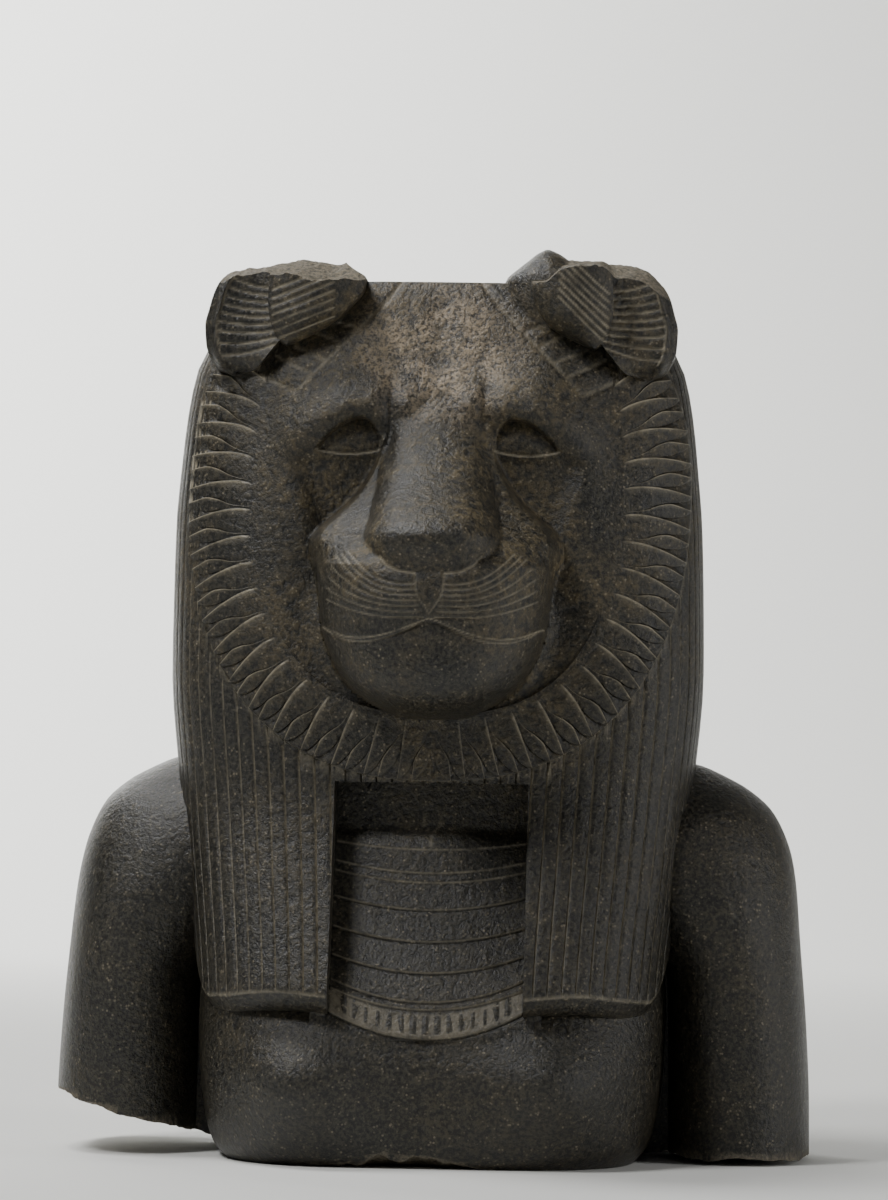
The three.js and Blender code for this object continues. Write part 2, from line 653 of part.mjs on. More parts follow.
// Chips out of the front of the underside.
function baseChips() {
  const surface = grid(2, 10, (v, u, r, c) => {
    const x = mix(-150, 150, u);
    const y = mix(-175, -100, v);
    const wide = 8 * bell(x + 18, 48) + 7 * bell(x - 138, 22) + 8 * bell(x + 142, 14);
    const fade = 1 - ease(-150, -108, y);
    return [x, y, -0.6 + wide * fade * (0.75 + 0.5 * uneven(r, c))];
  });
  const below = surface.map((row) => row.map(([x, y]) => [x, y, -20]));
  return slab(surface, below);
}

// Grooves in the face: mouth, nostrils, the shield above the lip and the strip of blocks by each ear.
function faceGrooves() {
  const cuts = [];
  const mirrored = (line) => [1, -1].map((side) => {
    const turned = line.map(([x, z]) => [side * x, z]);
    return side > 0 ? turned : turned.reverse();
  });
  const mouthHalf = Array.from({ length: 8 }, (_, i) => {
    const u = i / 7;
    return [1 + 73 * u, 364.4 - 13 * Math.sin(Math.PI * 0.82 * u) ** 1.15 + 2 * ease(0.72, 1, u)];
  });
  const nostril = [[10, 394], [21, 395.5], [29, 399.5], [33.5, 405]];
  const shield = [[9.5, 393], [9.2, 384], [6.5, 376.7], [0.5, 367.5]];
  const strip = [[97, 519], [85, 532], [66, 552], [43, 576], [27, 596]];
  const crossings = [[[98, 519], [126, 533]], [[88, 532], [114, 545]], [[77, 541], [99, 550]],
    [[66, 552], [84, 560]], [[56, 563], [70, 567]]];
  mirrored(mouthHalf).forEach((line) => cuts.push(groove(line, faceDepth, 3.6, 2.6)));
  mirrored(nostril).forEach((line) => cuts.push(groove(line, faceDepth, 3, 2)));
  mirrored(shield).forEach((line) => cuts.push(groove(line, faceDepth, 2.4, 1.6)));
  mirrored(strip).forEach((line) => cuts.push(groove(line, faceDepth, 2.6, 1.6)));
  crossings.forEach((line) => mirrored(line).forEach((one) => cuts.push(groove(one, faceDepth, 2.6, 1.8))));
  return union(cuts);
}

const head = makeWig()
  .subtract(facePocket())
  .subtract(box([-lappetInner, -300, 60], [lappetInner, -40, 256]))
  .add(makeMane())
  .add(makeFace().subtract(union([eyeSocket(1), eyeSocket(-1)])).add(union([eyeball(1), eyeball(-1)])))
  .subtract(faceGrooves());
const ears = union([makeEar(-1), makeEar(1), makeKnob()]);
const arms = union([
  union([makeArm(-1), armWeb(-1)]).subtract(armBreak(-1, 4, 48)),
  union([makeArm(1), armWeb(1)]).subtract(armBreak(1, 5, 4)),
]);
const pillar = box([-pillarHalfWidth, 60, 0], [pillarHalfWidth, pillarBack, pillarTop]);
const bust = union([head, ears, makeTorso(), makeCollar(), arms, pillar]).subtract(baseChips());

const cut = bust.getMesh();
const geometry = new THREE.BufferGeometry();
geometry.setAttribute('position', new THREE.Float32BufferAttribute(cut.vertProperties, 3));
geometry.setIndex([...cut.triVerts]);
geometry.computeBoundingBox();
const limits = geometry.boundingBox;
geometry.translate(-(limits.min.x + limits.max.x) / 2, -(limits.min.y + limits.max.y) / 2, -limits.min.z);

const stone = new THREE.MeshStandardMaterial({ color: 0x3a3632, roughness: 0.42, metalness: 0 });
const mesh = new THREE.Mesh(geometry, stone);
mesh.name = 'bust';
mesh.castShadow = true;
mesh.receiveShadow = true;

const model = new THREE.Group();
model.name = 'stone_bust';
model.add(mesh);

export default model;
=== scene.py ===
import math

import bpy
import numpy as np
from mathutils import Matrix, Vector, kdtree


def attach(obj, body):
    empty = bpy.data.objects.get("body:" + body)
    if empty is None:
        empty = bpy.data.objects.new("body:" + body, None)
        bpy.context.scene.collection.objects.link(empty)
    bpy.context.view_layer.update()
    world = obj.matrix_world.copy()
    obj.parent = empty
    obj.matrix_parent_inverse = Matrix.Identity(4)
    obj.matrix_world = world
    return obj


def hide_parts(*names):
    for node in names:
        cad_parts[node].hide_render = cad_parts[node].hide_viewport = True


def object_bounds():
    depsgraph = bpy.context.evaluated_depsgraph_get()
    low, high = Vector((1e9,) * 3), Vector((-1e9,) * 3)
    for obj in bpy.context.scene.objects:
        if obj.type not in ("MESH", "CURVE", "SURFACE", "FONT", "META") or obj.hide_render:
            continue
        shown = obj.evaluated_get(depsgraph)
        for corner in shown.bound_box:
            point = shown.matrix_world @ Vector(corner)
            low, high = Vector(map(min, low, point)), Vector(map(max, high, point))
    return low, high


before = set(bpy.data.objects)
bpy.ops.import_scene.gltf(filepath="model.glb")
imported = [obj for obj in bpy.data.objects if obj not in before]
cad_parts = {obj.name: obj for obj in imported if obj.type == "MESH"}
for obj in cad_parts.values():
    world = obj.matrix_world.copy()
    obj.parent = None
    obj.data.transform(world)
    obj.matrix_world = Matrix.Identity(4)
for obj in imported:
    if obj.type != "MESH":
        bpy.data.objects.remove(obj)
cadLow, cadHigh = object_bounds()
print("frame loaded", [round(v, 3) for v in cadLow], [round(v, 3) for v in cadHigh])

mm = 0.001
flatArea = 150 * mm * mm   # a face larger than this belongs to a flat side
scene = bpy.context.scene

# the carving is laid out in millimetres with depth meaning -Y, and moved into the frame at the end
pillar = {"halfWidth": 65, "front": 60, "back": 200, "top": 575, "wornEdge": 2.5}
intoFrame = Matrix.Translation((0, cadHigh[1] - pillar["back"] * mm, 0))


# small maths shared by every part of the carving
def along(table, at):
    xs = np.array([row[0] for row in table], float)
    ys = np.array([row[1] for row in table], float)
    at = np.clip(np.asarray(at, float), xs[0], xs[-1])
    slopes = np.diff(ys) / np.diff(xs)
    before, after = slopes[:-1], slopes[1:]
    both = before * after > 0
    inner = np.where(both, 2 * before * after / np.where(both, before + after, 1), 0)
    tangents = np.concatenate([[slopes[0]], inner, [slopes[-1]]])
    i = np.clip(np.searchsorted(xs, at, side="right") - 1, 0, len(slopes) - 1)
    span = xs[i + 1] - xs[i]
    t = (at - xs[i]) / span
    rise = t * t * (3 - 2 * t)
    bend = span * t * (1 - t) * ((1 - t) * tangents[i] - t * tangents[i + 1])
    return ys[i] + (ys[i + 1] - ys[i]) * rise + bend


def mix(a, b, t):
    return a + (b - a) * t


def ease(low, high, value):
    t = np.clip((np.asarray(value, float) - low) / (high - low), 0, 1)
    return t * t * (3 - 2 * t)


def bell(distance, width):
    return np.exp(-(np.asarray(distance, float) / width) ** 2)


def joinedMax(a, b, soft):
    h = np.clip(0.5 + 0.5 * (a - b) / soft, 0, 1)
    return mix(b, a, h) + soft * h * (1 - h)


def lattice(ix, iy, iz, seed):
    n = np.sin(ix * 127.1 + iy * 311.7 + iz * 74.7 + seed * 53.3) * 43758.5453
    return (n - np.floor(n)) * 2 - 1


def smoothNoise(x, y, z, seed):
    fx, fy, fz = np.floor(x), np.floor(y), np.floor(z)
    u, v, w = (t * t * (3 - 2 * t) for t in (x - fx, y - fy, z - fz))
    total = 0
    for dx in (0, 1):
        for dy in (0, 1):
            for dz in (0, 1):
                share = (u if dx else 1 - u) * (v if dy else 1 - v) * (w if dz else 1 - w)
                total = total + lattice(fx + dx, fy + dy, fz + dz, seed) * share
    return total


def rough(x, y, z, size, seed=0, octaves=4):
    x, y, z = (np.asarray(v, float) + 0 * np.asarray(x, float) for v in (x, y, z))
    total, height, scale = 0, 1.0, 1.0 / size
    for k in range(octaves):
        total = total + smoothNoise(x * scale, y * scale, z * scale, seed + k) * height
        height *= 0.55
        scale *= 2.03
    return total


# grids of points become closed meshes
def meshObject(name, points, faces, edges=()):
    data = bpy.data.meshes.new(name)
    data.from_pydata((np.asarray(points, float) * mm).tolist(), list(edges), faces)
    data.update()
    made = bpy.data.objects.new(name, data)
    scene.collection.objects.link(made)
    return made


def gridFaces(rows, columns, start=0, turned=False, wrap=False):
    r, c = np.meshgrid(np.arange(rows - 1), np.arange(columns if wrap else columns - 1), indexing="ij")
    n = (c + 1) % columns
    here, there = start + r * columns, start + (r + 1) * columns
    faces = np.stack([here + c, here + n, there + n, there + c], -1).reshape(-1, 4)
    return faces[:, ::-1].tolist() if turned else faces.tolist()


def ringSolid(name, rings):
    rings = np.asarray(rings, float)
    rows, count = rings.shape[:2]
    points = np.concatenate([rings.reshape(-1, 3), [rings[0].mean(0)], [rings[-1].mean(0)]])
    first, last, top = rows * count, rows * count + 1, (rows - 1) * count
    faces = gridFaces(rows, count, wrap=True)
    for j in range(count):
        n = (j + 1) % count
        faces += [[first, n, j], [last, top + j, top + n]]
    return meshObject(name, points, faces)


def slab(name, front, back):
    front, back = np.asarray(front, float), np.asarray(back, float)
    rows, columns = front.shape[:2]
    behind = rows * columns
    points = np.concatenate([front.reshape(-1, 3), back.reshape(-1, 3)])
    faces = gridFaces(rows, columns) + gridFaces(rows, columns, start=behind, turned=True)
    for r in range(rows - 1):
        right, left = r * columns + columns - 1, r * columns
        faces.append([right, behind + right, behind + right + columns, right + columns])
        faces.append([behind + left, left, left + columns, behind + left + columns])
    top = (rows - 1) * columns
    for c in range(columns - 1):
        faces.append([behind + c, behind + c + 1, c + 1, c])
        faces.append([top + c, top + c + 1, behind + top + c + 1, behind + top + c])
    return meshObject(name, points, faces)


def box(name, low, high):
    points = [[x, y, z] for z in (low[2], high[2]) for y in (low[1], high[1]) for x in (low[0], high[0])]
    faces = [[0, 2, 3, 1], [4, 5, 7, 6], [0, 1, 5, 4], [2, 6, 7, 3], [0, 4, 6, 2], [1, 3, 7, 5]]
    return meshObject(name, points, faces)


def lineObject(name, lines):
    points, edges = [], []
    for line in lines:
        edges += [(len(points) + i, len(points) + i + 1) for i in range(len(line) - 1)]
        points += [list(p) for p in line]
    return meshObject(name, points, [], edges)


def facing(side, rows):
    rows = np.asarray(rows)
    return rows if side > 0 else rows[:, ::-1]


def writeAttribute(thing, name, values):
    layer = thing.data.attributes.get(name) or thing.data.attributes.new(name, "FLOAT", "POINT")
    layer.data.foreach_set("value", np.asarray(values, np.float32).ravel())


def readAttribute(thing, name):
    values = np.zeros(len(thing.data.vertices), np.float32)
    layer = thing.data.attributes.get(name)
    if layer:
        layer.data.foreach_get("value", values)
    return values


def markLines(thing, values):
    writeAttribute(thing, "line", np.maximum(readAttribute(thing, "line"), values))


def pointsOf(thing):
    flat = np.empty(len(thing.data.vertices) * 3)
    thing.data.vertices.foreach_get("co", flat)
    return flat.reshape(-1, 3) / mm


def discard(thing):
    data = thing.data
    bpy.data.objects.remove(thing)
    bpy.data.meshes.remove(data)


def settle(thing):
    graph = bpy.context.evaluated_depsgraph_get()
    fresh = bpy.data.meshes.new_from_object(thing.evaluated_get(graph))
    thing.modifiers.clear()
    old = thing.data
    thing.data = fresh
    bpy.data.meshes.remove(old)


# what each place of the surface is like, looked up again once the stone is one mesh
looks = {"points": [], "line": [], "broken": []}


def remember(thing):
    looks["points"].append(pointsOf(thing))
    for name in ("line", "broken"):
        looks[name].append(readAttribute(thing, name))


def combine(base, others, how):
    for i, other in enumerate(others):
        step = base.modifiers.new("join%d" % i, "BOOLEAN")
        step.operation = how
        step.solver = "MANIFOLD"
        step.object = other
    settle(base)
    for other in others:
        discard(other)
    return base


# short ways to write node trees
def newTree(name, inputs):
    tree = bpy.data.node_groups.new(name, "GeometryNodeTree")
    tree.interface.new_socket("Geometry", in_out="INPUT", socket_type="NodeSocketGeometry")
    for label, kind, value in inputs:
        socket = tree.interface.new_socket(label, in_out="INPUT", socket_type=kind)
        if value is not None:
            socket.default_value = value
    tree.interface.new_socket("Geometry", in_out="OUTPUT", socket_type="NodeSocketGeometry")
    return tree, tree.nodes.new("NodeGroupInput"), tree.nodes.new("NodeGroupOutput")


def feed(tree, value, socket):
    if isinstance(value, bpy.types.NodeSocket):
        tree.links.new(value, socket)
    else:
        socket.default_value = value


def addNode(tree, kind, values, settings=()):
    node = tree.nodes.new(kind)
    for name, setting in settings:
        setattr(node, name, setting)
    for name, value in values.items():
        feed(tree, value, node.inputs[name])
    return node


def maths(tree, how, a, b=0.0, clamp=False):
    settings = [("operation", how), ("use_clamp", clamp)]
    return addNode(tree, "ShaderNodeMath", {0: a, 1: b}, settings).outputs[0]


def vectors(tree, how, values):
    return addNode(tree, "ShaderNodeVectorMath", values, [("operation", how)]).outputs[0]


def named(tree, name):
    node = addNode(tree, "GeometryNodeInputNamedAttribute", {"Name": name}, [("data_type", "FLOAT")])
    return node.outputs["Attribute"]


def moved(tree, geometry, offset):
    values = {"Geometry": geometry, "Offset": offset}
    return addNode(tree, "GeometryNodeSetPosition", values).outputs["Geometry"]


def stored(tree, geometry, name, value):
    values = {"Geometry": geometry, "Name": name, "Value": value}
    kept = [("data_type", "FLOAT"), ("domain", "POINT")]
    return addNode(tree, "GeometryNodeStoreNamedAttribute", values, kept).outputs["Geometry"]


def movedForward(tree, geometry, distance):
    offset = addNode(tree, "ShaderNodeCombineXYZ", {"Y": maths(tree, "MULTIPLY", distance, -1.0)})
    return moved(tree, geometry, offset.outputs[0])


def runTree(thing, tree, values):
    step = thing.modifiers.new(tree.name, "NODES")
    step.node_group = tree
    for item in tree.interface.items_tree:
        if item.in_out == "INPUT" and item.name in values:
            step[item.identifier] = values[item.name]
    settle(thing)


# camera: a long lens from the front, a little to the right and level with the chest
view = {"distance": 3500, "azimuth": 2.4, "height": 283, "aimHeight": 382, "aimSide": 1.9,
        "roll": 0.94, "lens": 151.4}
azimuth = math.radians(view["azimuth"])
eye = Vector((view["distance"] * math.sin(azimuth), -view["distance"] * math.cos(azimuth), view["height"]))
aim = Vector((view["aimSide"], 0, view["aimHeight"]))
cameraData = bpy.data.cameras.new("camera")
cameraData.lens = view["lens"]
cameraData.sensor_width = 36
cameraData.clip_start, cameraData.clip_end = 0.1, 50
camera = bpy.data.objects.new("camera", cameraData)
scene.collection.objects.link(camera)
camera.location = eye * mm
look = (aim - eye).to_track_quat("-Z", "Y").to_matrix().to_4x4()
camera.rotation_euler = (look @ Matrix.Rotation(math.radians(view["roll"]), 4, "Z")).to_euler()
scene.camera = camera
print("camera set")


# granodiorite: dark and polished, speckled with pale crystals, browner round the face and paler
# on the forehead, pale along the incised lines and carved edges as dust and painted highlight, dull where it
# broke
granodiorite = {
    "dark": (0.0025, 0.0024, 0.002), "mid": (0.036, 0.032, 0.022), "brown": (0.095, 0.072, 0.034),
    "speck": (0.26, 0.22, 0.15), "dustAndHighlight": (0.32, 0.28, 0.2), "fracture": (0.2, 0.17, 0.12),
    "face": (0, -0.1, 0.45), "brownNear": 0.1, "brownFar": 0.24,
    "pale": (0.3, 0.235, 0.155), "palePatch": (0.003, -0.095, 0.555), "paleNear": 0.03, "paleFar": 0.07,
    "grain": 400, "clots": 170, "drift": 16, "mottle": 60, "wear": 90, "speckSize": 330,
    "polish": 0.26, "dull": 0.5, "gloss": 0.5, "bump": 0.9, "bumpDepth": 0.001,
}


def makeStoneMaterial():
    material = bpy.data.materials.new("granodiorite")
    material.use_nodes = True
    tree = material.node_tree
    tree.nodes.clear()
    output = tree.nodes.new("ShaderNodeOutputMaterial")
    shader = tree.nodes.new("ShaderNodeBsdfPrincipled")
    tree.links.new(shader.outputs["BSDF"], output.inputs["Surface"])
    place = tree.nodes.new("ShaderNodeTexCoord").outputs["Object"]

    def noiseNode(size, detail, roughness=0.6):
        values = {"Vector": place, "Scale": granodiorite[size], "Detail": detail, "Roughness": roughness}
        return addNode(tree, "ShaderNodeTexNoise", values).outputs["Fac"]

    def ramp(value, low, high, bottom=0.0, top=1.0):
        values = {"Value": value, "From Min": low, "From Max": high, "To Min": bottom, "To Max": top}
        return addNode(tree, "ShaderNodeMapRange", values).outputs["Result"]

    def blend(share, a, b):
        a, b = ((*value, 1) if isinstance(value, tuple) else value for value in (a, b))
        return addNode(tree, "ShaderNodeMix", {0: share, 6: a, 7: b}, [("data_type", "RGBA")]).outputs[2]

    def near(point, far, close):
        places = {0: place, 1: granodiorite[point]}
        away = addNode(tree, "ShaderNodeVectorMath", places, [("operation", "DISTANCE")])
        return ramp(away.outputs["Value"], granodiorite[far], granodiorite[close])

    def attribute(name):
        return addNode(tree, "ShaderNodeAttribute", {}, [("attribute_name", name)]).outputs["Fac"]

    def both(a, b):
        return maths(tree, "MULTIPLY", a, b)

    grains = noiseNode("grain", 4, 0.7)
    clots = noiseNode("clots", 3)
    line, broken = attribute("line"), attribute("broken")
    browned = maths(tree, "ADD", near("face", "brownFar", "brownNear"), 0.35)
    browned = both(browned, ramp(noiseNode("drift", 4), 0.38, 0.66))
    pale = both(near("palePatch", "paleFar", "paleNear"), ramp(noiseNode("mottle", 5, 0.75), 0.36, 0.6))
    crystal = addNode(tree, "ShaderNodeTexVoronoi", {"Vector": place, "Scale": granodiorite["speckSize"]})
    speck = both(ramp(crystal.outputs["Distance"], 0.34, 0.16), ramp(clots, 0.46, 0.66))
    patchy = both(ramp(clots, 0.36, 0.62), ramp(grains, 0.4, 0.58, 0.35, 1.0))
    # mask for pale paint along the lines and carved edges: partly dust, partly a painted highlight where an
    # edge catches the light
    wearAndHighlight = both(ramp(line, 0.1, 1.0), ramp(noiseNode("wear", 3), 0.3, 0.58, 0.25, 0.9))
    rubble = blend(ramp(grains, 0.36, 0.64), granodiorite["mid"], granodiorite["fracture"])
    base = blend(ramp(grains, 0.43, 0.6), granodiorite["dark"], granodiorite["mid"])
    base = blend(both(browned, patchy), base, granodiorite["brown"])
    base = blend(both(pale, ramp(grains, 0.42, 0.56, 0.1, 1.0)), base, granodiorite["pale"])
    base = blend(both(speck, 0.6), base, granodiorite["speck"])
    # lines and edges painted pale, as dust and as painted highlight
    base = blend(wearAndHighlight, base, granodiorite["dustAndHighlight"])
    base = blend(broken, base, rubble)
    tree.links.new(base, shader.inputs["Base Color"])
    sheen = ramp(grains, 0.3, 0.72, granodiorite["polish"], granodiorite["dull"])
    sheen = maths(tree, "ADD", sheen, both(browned, 0.16))
    sheen = maths(tree, "ADD", sheen, both(broken, 0.3), clamp=True)
    tree.links.new(sheen, shader.inputs["Roughness"])
    shader.inputs["Specular IOR Level"].default_value = granodiorite["gloss"]
    pits = {"Strength": granodiorite["bump"], "Distance": granodiorite["bumpDepth"],
            "Height": maths(tree, "ADD", grains, both(clots, 1.4))}
    tree.links.new(addNode(tree, "ShaderNodeBump", pits).outputs["Normal"], shader.inputs["Normal"])
    return material


stoneMaterial = makeStoneMaterial()
print("stone material made")


# the wig: a tapering mass with incised lines down it, ending in two lappets in front
wig = {
    "halfWidth": [[98, 160], [143, 164], [193, 170], [258, 177], [333, 183], [383, 182.5],
                  [433, 181.3], [473, 178], [503, 174.9], [538, 168.3], [566, 152], [586, 128], [597, 102]],
    "front": [[98, 154], [111, 160], [143, 149], [193, 130], [256, 112], [303, 112],
              [345, 110], [391, 106], [444, 100], [492, 92], [545, 79], [580, 70], [597, 60]],
    "back": [[98, 150], [185, 160], [300, 165], [400, 165], [500, 158], [545, 145], [580, 120], [597, 92]],
    "lean": [[98, 0], [300, -0.6], [383, -1], [450, -1.6], [538, -1.8], [575, -0.6], [597, 0]],
    "frontPower": 3.3, "backPower": 2.5, "crown": 597,
    "lappetInner": 65, "lappetEnd": 110, "lappetArch": 6, "backEnd": 186,
    "flutePitch": 10.4, "spacingPlan": (176, 118, 163),   # half width, front and back where they are spaced
    "lineDepth": 1.6, "lineHalf": 0.1, "swell": 0.35, "rows": 26,
}


def wigDepthAt(x, z):
    share = np.minimum(1, np.abs(x) / along(wig["halfWidth"], z))
    return along(wig["front"], z) * (1 - share ** wig["frontPower"]) ** (1 / wig["frontPower"])


def planPoint(angle, halfWidth, front, back, frontPower, backPower):
    c, s = np.cos(angle), np.sin(angle)
    power = np.where(s < 0, frontPower, backPower)
    x = np.sign(c) * halfWidth * np.abs(c) ** (2 / power)
    y = np.sign(s) * np.where(s < 0, front, back) * np.abs(s) ** (2 / power)
    return x, y


def fluteColumns():
    walk = np.linspace(math.pi / 2, math.pi * 2.5, 8001)
    x, y = planPoint(walk, *wig["spacingPlan"], wig["frontPower"], wig["backPower"])
    run = np.concatenate([[0], np.cumsum(np.hypot(np.diff(x), np.diff(y)))])
    count = round(run[-1] / wig["flutePitch"])
    half = wig["lineHalf"]
    places = np.array([-half, 0.0, half, 0.3, 0.5, 0.7])
    flutes = (np.arange(count)[:, None] + 0.5 + places[None, :]).ravel()
    return np.interp(flutes / count * run[-1], run, walk), flutes - 0.5


def makeFluteTree():
    tree, start, end = newTree("flutes", [("Line depth", "NodeSocketFloat", 1.5),
                                          ("Line half width", "NodeSocketFloat", 0.1),
                                          ("Swell", "NodeSocketFloat", 0.4)])
    part = maths(tree, "FRACT", maths(tree, "ADD", named(tree, "flute"), 1.0))
    rest = maths(tree, "SUBTRACT", 1.0, part)
    share = maths(tree, "DIVIDE", maths(tree, "MINIMUM", part, rest), start.outputs["Line half width"])
    groove = maths(tree, "SUBTRACT", 1.0, share, clamp=True)
    crown = maths(tree, "MULTIPLY", maths(tree, "MULTIPLY", part, rest), 4.0)
    rise = maths(tree, "MULTIPLY", crown, start.outputs["Swell"])
    height = maths(tree, "SUBTRACT", rise, maths(tree, "MULTIPLY", groove, start.outputs["Line depth"]))
    height = maths(tree, "MULTIPLY", height, named(tree, "fade"))
    place = tree.nodes.new("GeometryNodeInputPosition").outputs[0]
    outward = vectors(tree, "NORMALIZE", {0: vectors(tree, "MULTIPLY", {0: place, 1: (1, 1, 0)})})
    # each groove is painted pale through the line attribute, as dust and as a painted highlight
    faded = maths(tree, "MULTIPLY", groove, named(tree, "fade"))
    shape = stored(tree, start.outputs["Geometry"], "line", faded)
    shape = moved(tree, shape, vectors(tree, "SCALE", {0: outward, "Scale": height}))
    tree.links.new(shape, end.inputs["Geometry"])
    return tree


def makeWig():
    angle, flute = fluteColumns()
    s = np.sin(angle)
    arch = wig["lappetEnd"] + wig["lappetArch"] * bell(np.abs(np.cos(angle)) - 0.45, 0.3)
    end = mix(arch, wig["backEnd"], ease(-0.5, 0.15, s))
    upper = (1 - (1 - np.linspace(0, 1, wig["rows"])) ** 1.25)[1:]
    below = {-1.0: (13, 13), -0.7: (11.5, 7), -0.5: (6, 3.2), -0.2: (1.6, 0.9)}
    rings, fades = [], []
    for share in [*below, 0.0, 0.006, 0.014, *upper]:
        lower, sink = below.get(share, (0, 0))
        z = end - lower if share < 0 else mix(end, wig["crown"], share)
        fade = ease(0.0, 0.01, share) * (1 - ease(0.93, 0.985, share))
        x, y = planPoint(angle, along(wig["halfWidth"], z), along(wig["front"], z),
                         along(wig["back"], z), wig["frontPower"], wig["backPower"])
        scale = 1 - sink / np.hypot(x, y)
        rings.append(np.stack([x * scale + along(wig["lean"], z), y * scale, z * np.ones_like(x)], -1))
        fades.append(fade * np.ones_like(x))
    made = ringSolid("wig", rings)
    writeAttribute(made, "flute", np.concatenate([np.tile(flute, len(rings)), [0, 0]]))
    writeAttribute(made, "fade", np.concatenate([np.concatenate(fades), [0, 0]]))
    runTree(made, makeFluteTree(), {"Line depth": wig["lineDepth"] * mm, "Swell": wig["swell"] * mm,
                                    "Line half width": wig["lineHalf"]})
    lip = np.zeros((len(rings), len(angle)))
    # a painted highlight along the sharp front edge of each lappet's end
    lip[len(below)] = 0.6 * (1 - ease(-0.5, 0, s))   # the sharp front edge of each lappet's end
    markLines(made, np.concatenate([lip.ravel(), [0, 0]]))
    remember(made)
    return made


# the mane: overlapping locks from ear to ear, a long one and a short one by turns, pointed at the rim
mane = {
    "centre": 458, "ruffHalfWidth": 122, "ruffDrop": 156, "ruffPower": 2.6,
    "rimHalfWidth": 172, "rimDrop": 201, "rimRise": 150, "rimPower": 2.35, "top": 0.5,
    "locksPerSide": 17, "bow": 5.5, "ruffLift": 1.2, "lift": 0.5, "relief": 2.9, "slope": 0.6,
    "pocket": ((38, 8), (260, 4)),   # depth and inset of the room cut into the wig for the face
    "longEnd": [[0, 1.74], [0.25, 1.72], [0.36, 1.6], [0.6, 1.0], [0.84, 0.6], [0.95, 0.3], [1, 0.06]],
    "shortStart": [[0, 1.2], [0.5, 1.2], [0.6, 1.1], [0.7, 0.88], [1, 0.86]],
    "shortEnd": [[0, 1.92], [0.5, 1.92], [0.58, 1.9], [0.73, 1.74], [0.84, 1.5], [0.95, 1.15], [1, 0.93]],
}


def ovalRadius(angle, halfWidth, rise, fall, power):
    c = np.abs(np.cos(angle)) / halfWidth
    s = np.abs(np.sin(angle)) / np.where(np.sin(angle) > 0, rise, fall)
    return (c ** power + s ** power) ** (-1 / power)


def ruffRadius(angle):
    return ovalRadius(angle, mane["ruffHalfWidth"], mane["rimRise"], mane["ruffDrop"], mane["ruffPower"])


def rimRadius(angle):
    return ovalRadius(angle, mane["rimHalfWidth"], mane["rimRise"], mane["rimDrop"], mane["rimPower"])


def evenAngle(radius, share):
    walk = np.linspace(-math.pi / 2, mane["top"], 1601)
    r = radius(walk)
    run = np.concatenate([[0], np.cumsum(np.hypot(np.diff(r * np.cos(walk)), np.diff(r * np.sin(walk))))])
    return np.interp(share * run[-1], run, walk)


def lockCell(row):
    # places down one cell of two tips, how high the stone stands at each, and where an upper edge is, which
    # gets a painted highlight
    longEnd = float(along(mane["longEnd"], row))
    shortStart = max(longEnd + 0.08, float(along(mane["shortStart"], row)))
    shortEnd = max(shortStart + 0.06, float(along(mane["shortEnd"], row)))
    places, heights, edges = [], [], []

    def leaf(a, b, share):
        for t, edge in ((0, 1), (0.1, 0.25), (0.45, 0), (0.8, 0), (1, 0)):
            places.append(mix(a, b, t))
            heights.append((1 - mane["slope"] * t) * share)
            edges.append(edge * share)

    def hollow(a, b, share):
        for t in (0.0, 0.5, 1.0):
            places.append(mix(a + 0.035, b - 0.03, t))
            heights.append(mix(mix(0.25, 0.02, share), mix(0.3, 0.5, share), t))
            edges.append(0)

    leaf(0, longEnd, 1)
    hollow(longEnd, shortStart, float(ease(0.35, 0.7, row)))
    leaf(shortStart, shortEnd, mix(0.45, 0.95, float(ease(0.3, 0.62, row))))
    hollow(shortEnd, 2, float(ease(0.45, 0.75, row)))
    return np.array(places), np.array(heights), np.array(edges)


def makeLockTree():
    tree, start, end = newTree("locks", [("Relief", "NodeSocketFloat", 2.5)])
    height = maths(tree, "MULTIPLY", named(tree, "lock"), start.outputs["Relief"])
    tree.links.new(movedForward(tree, start.outputs["Geometry"], height), end.inputs["Geometry"])
    return tree


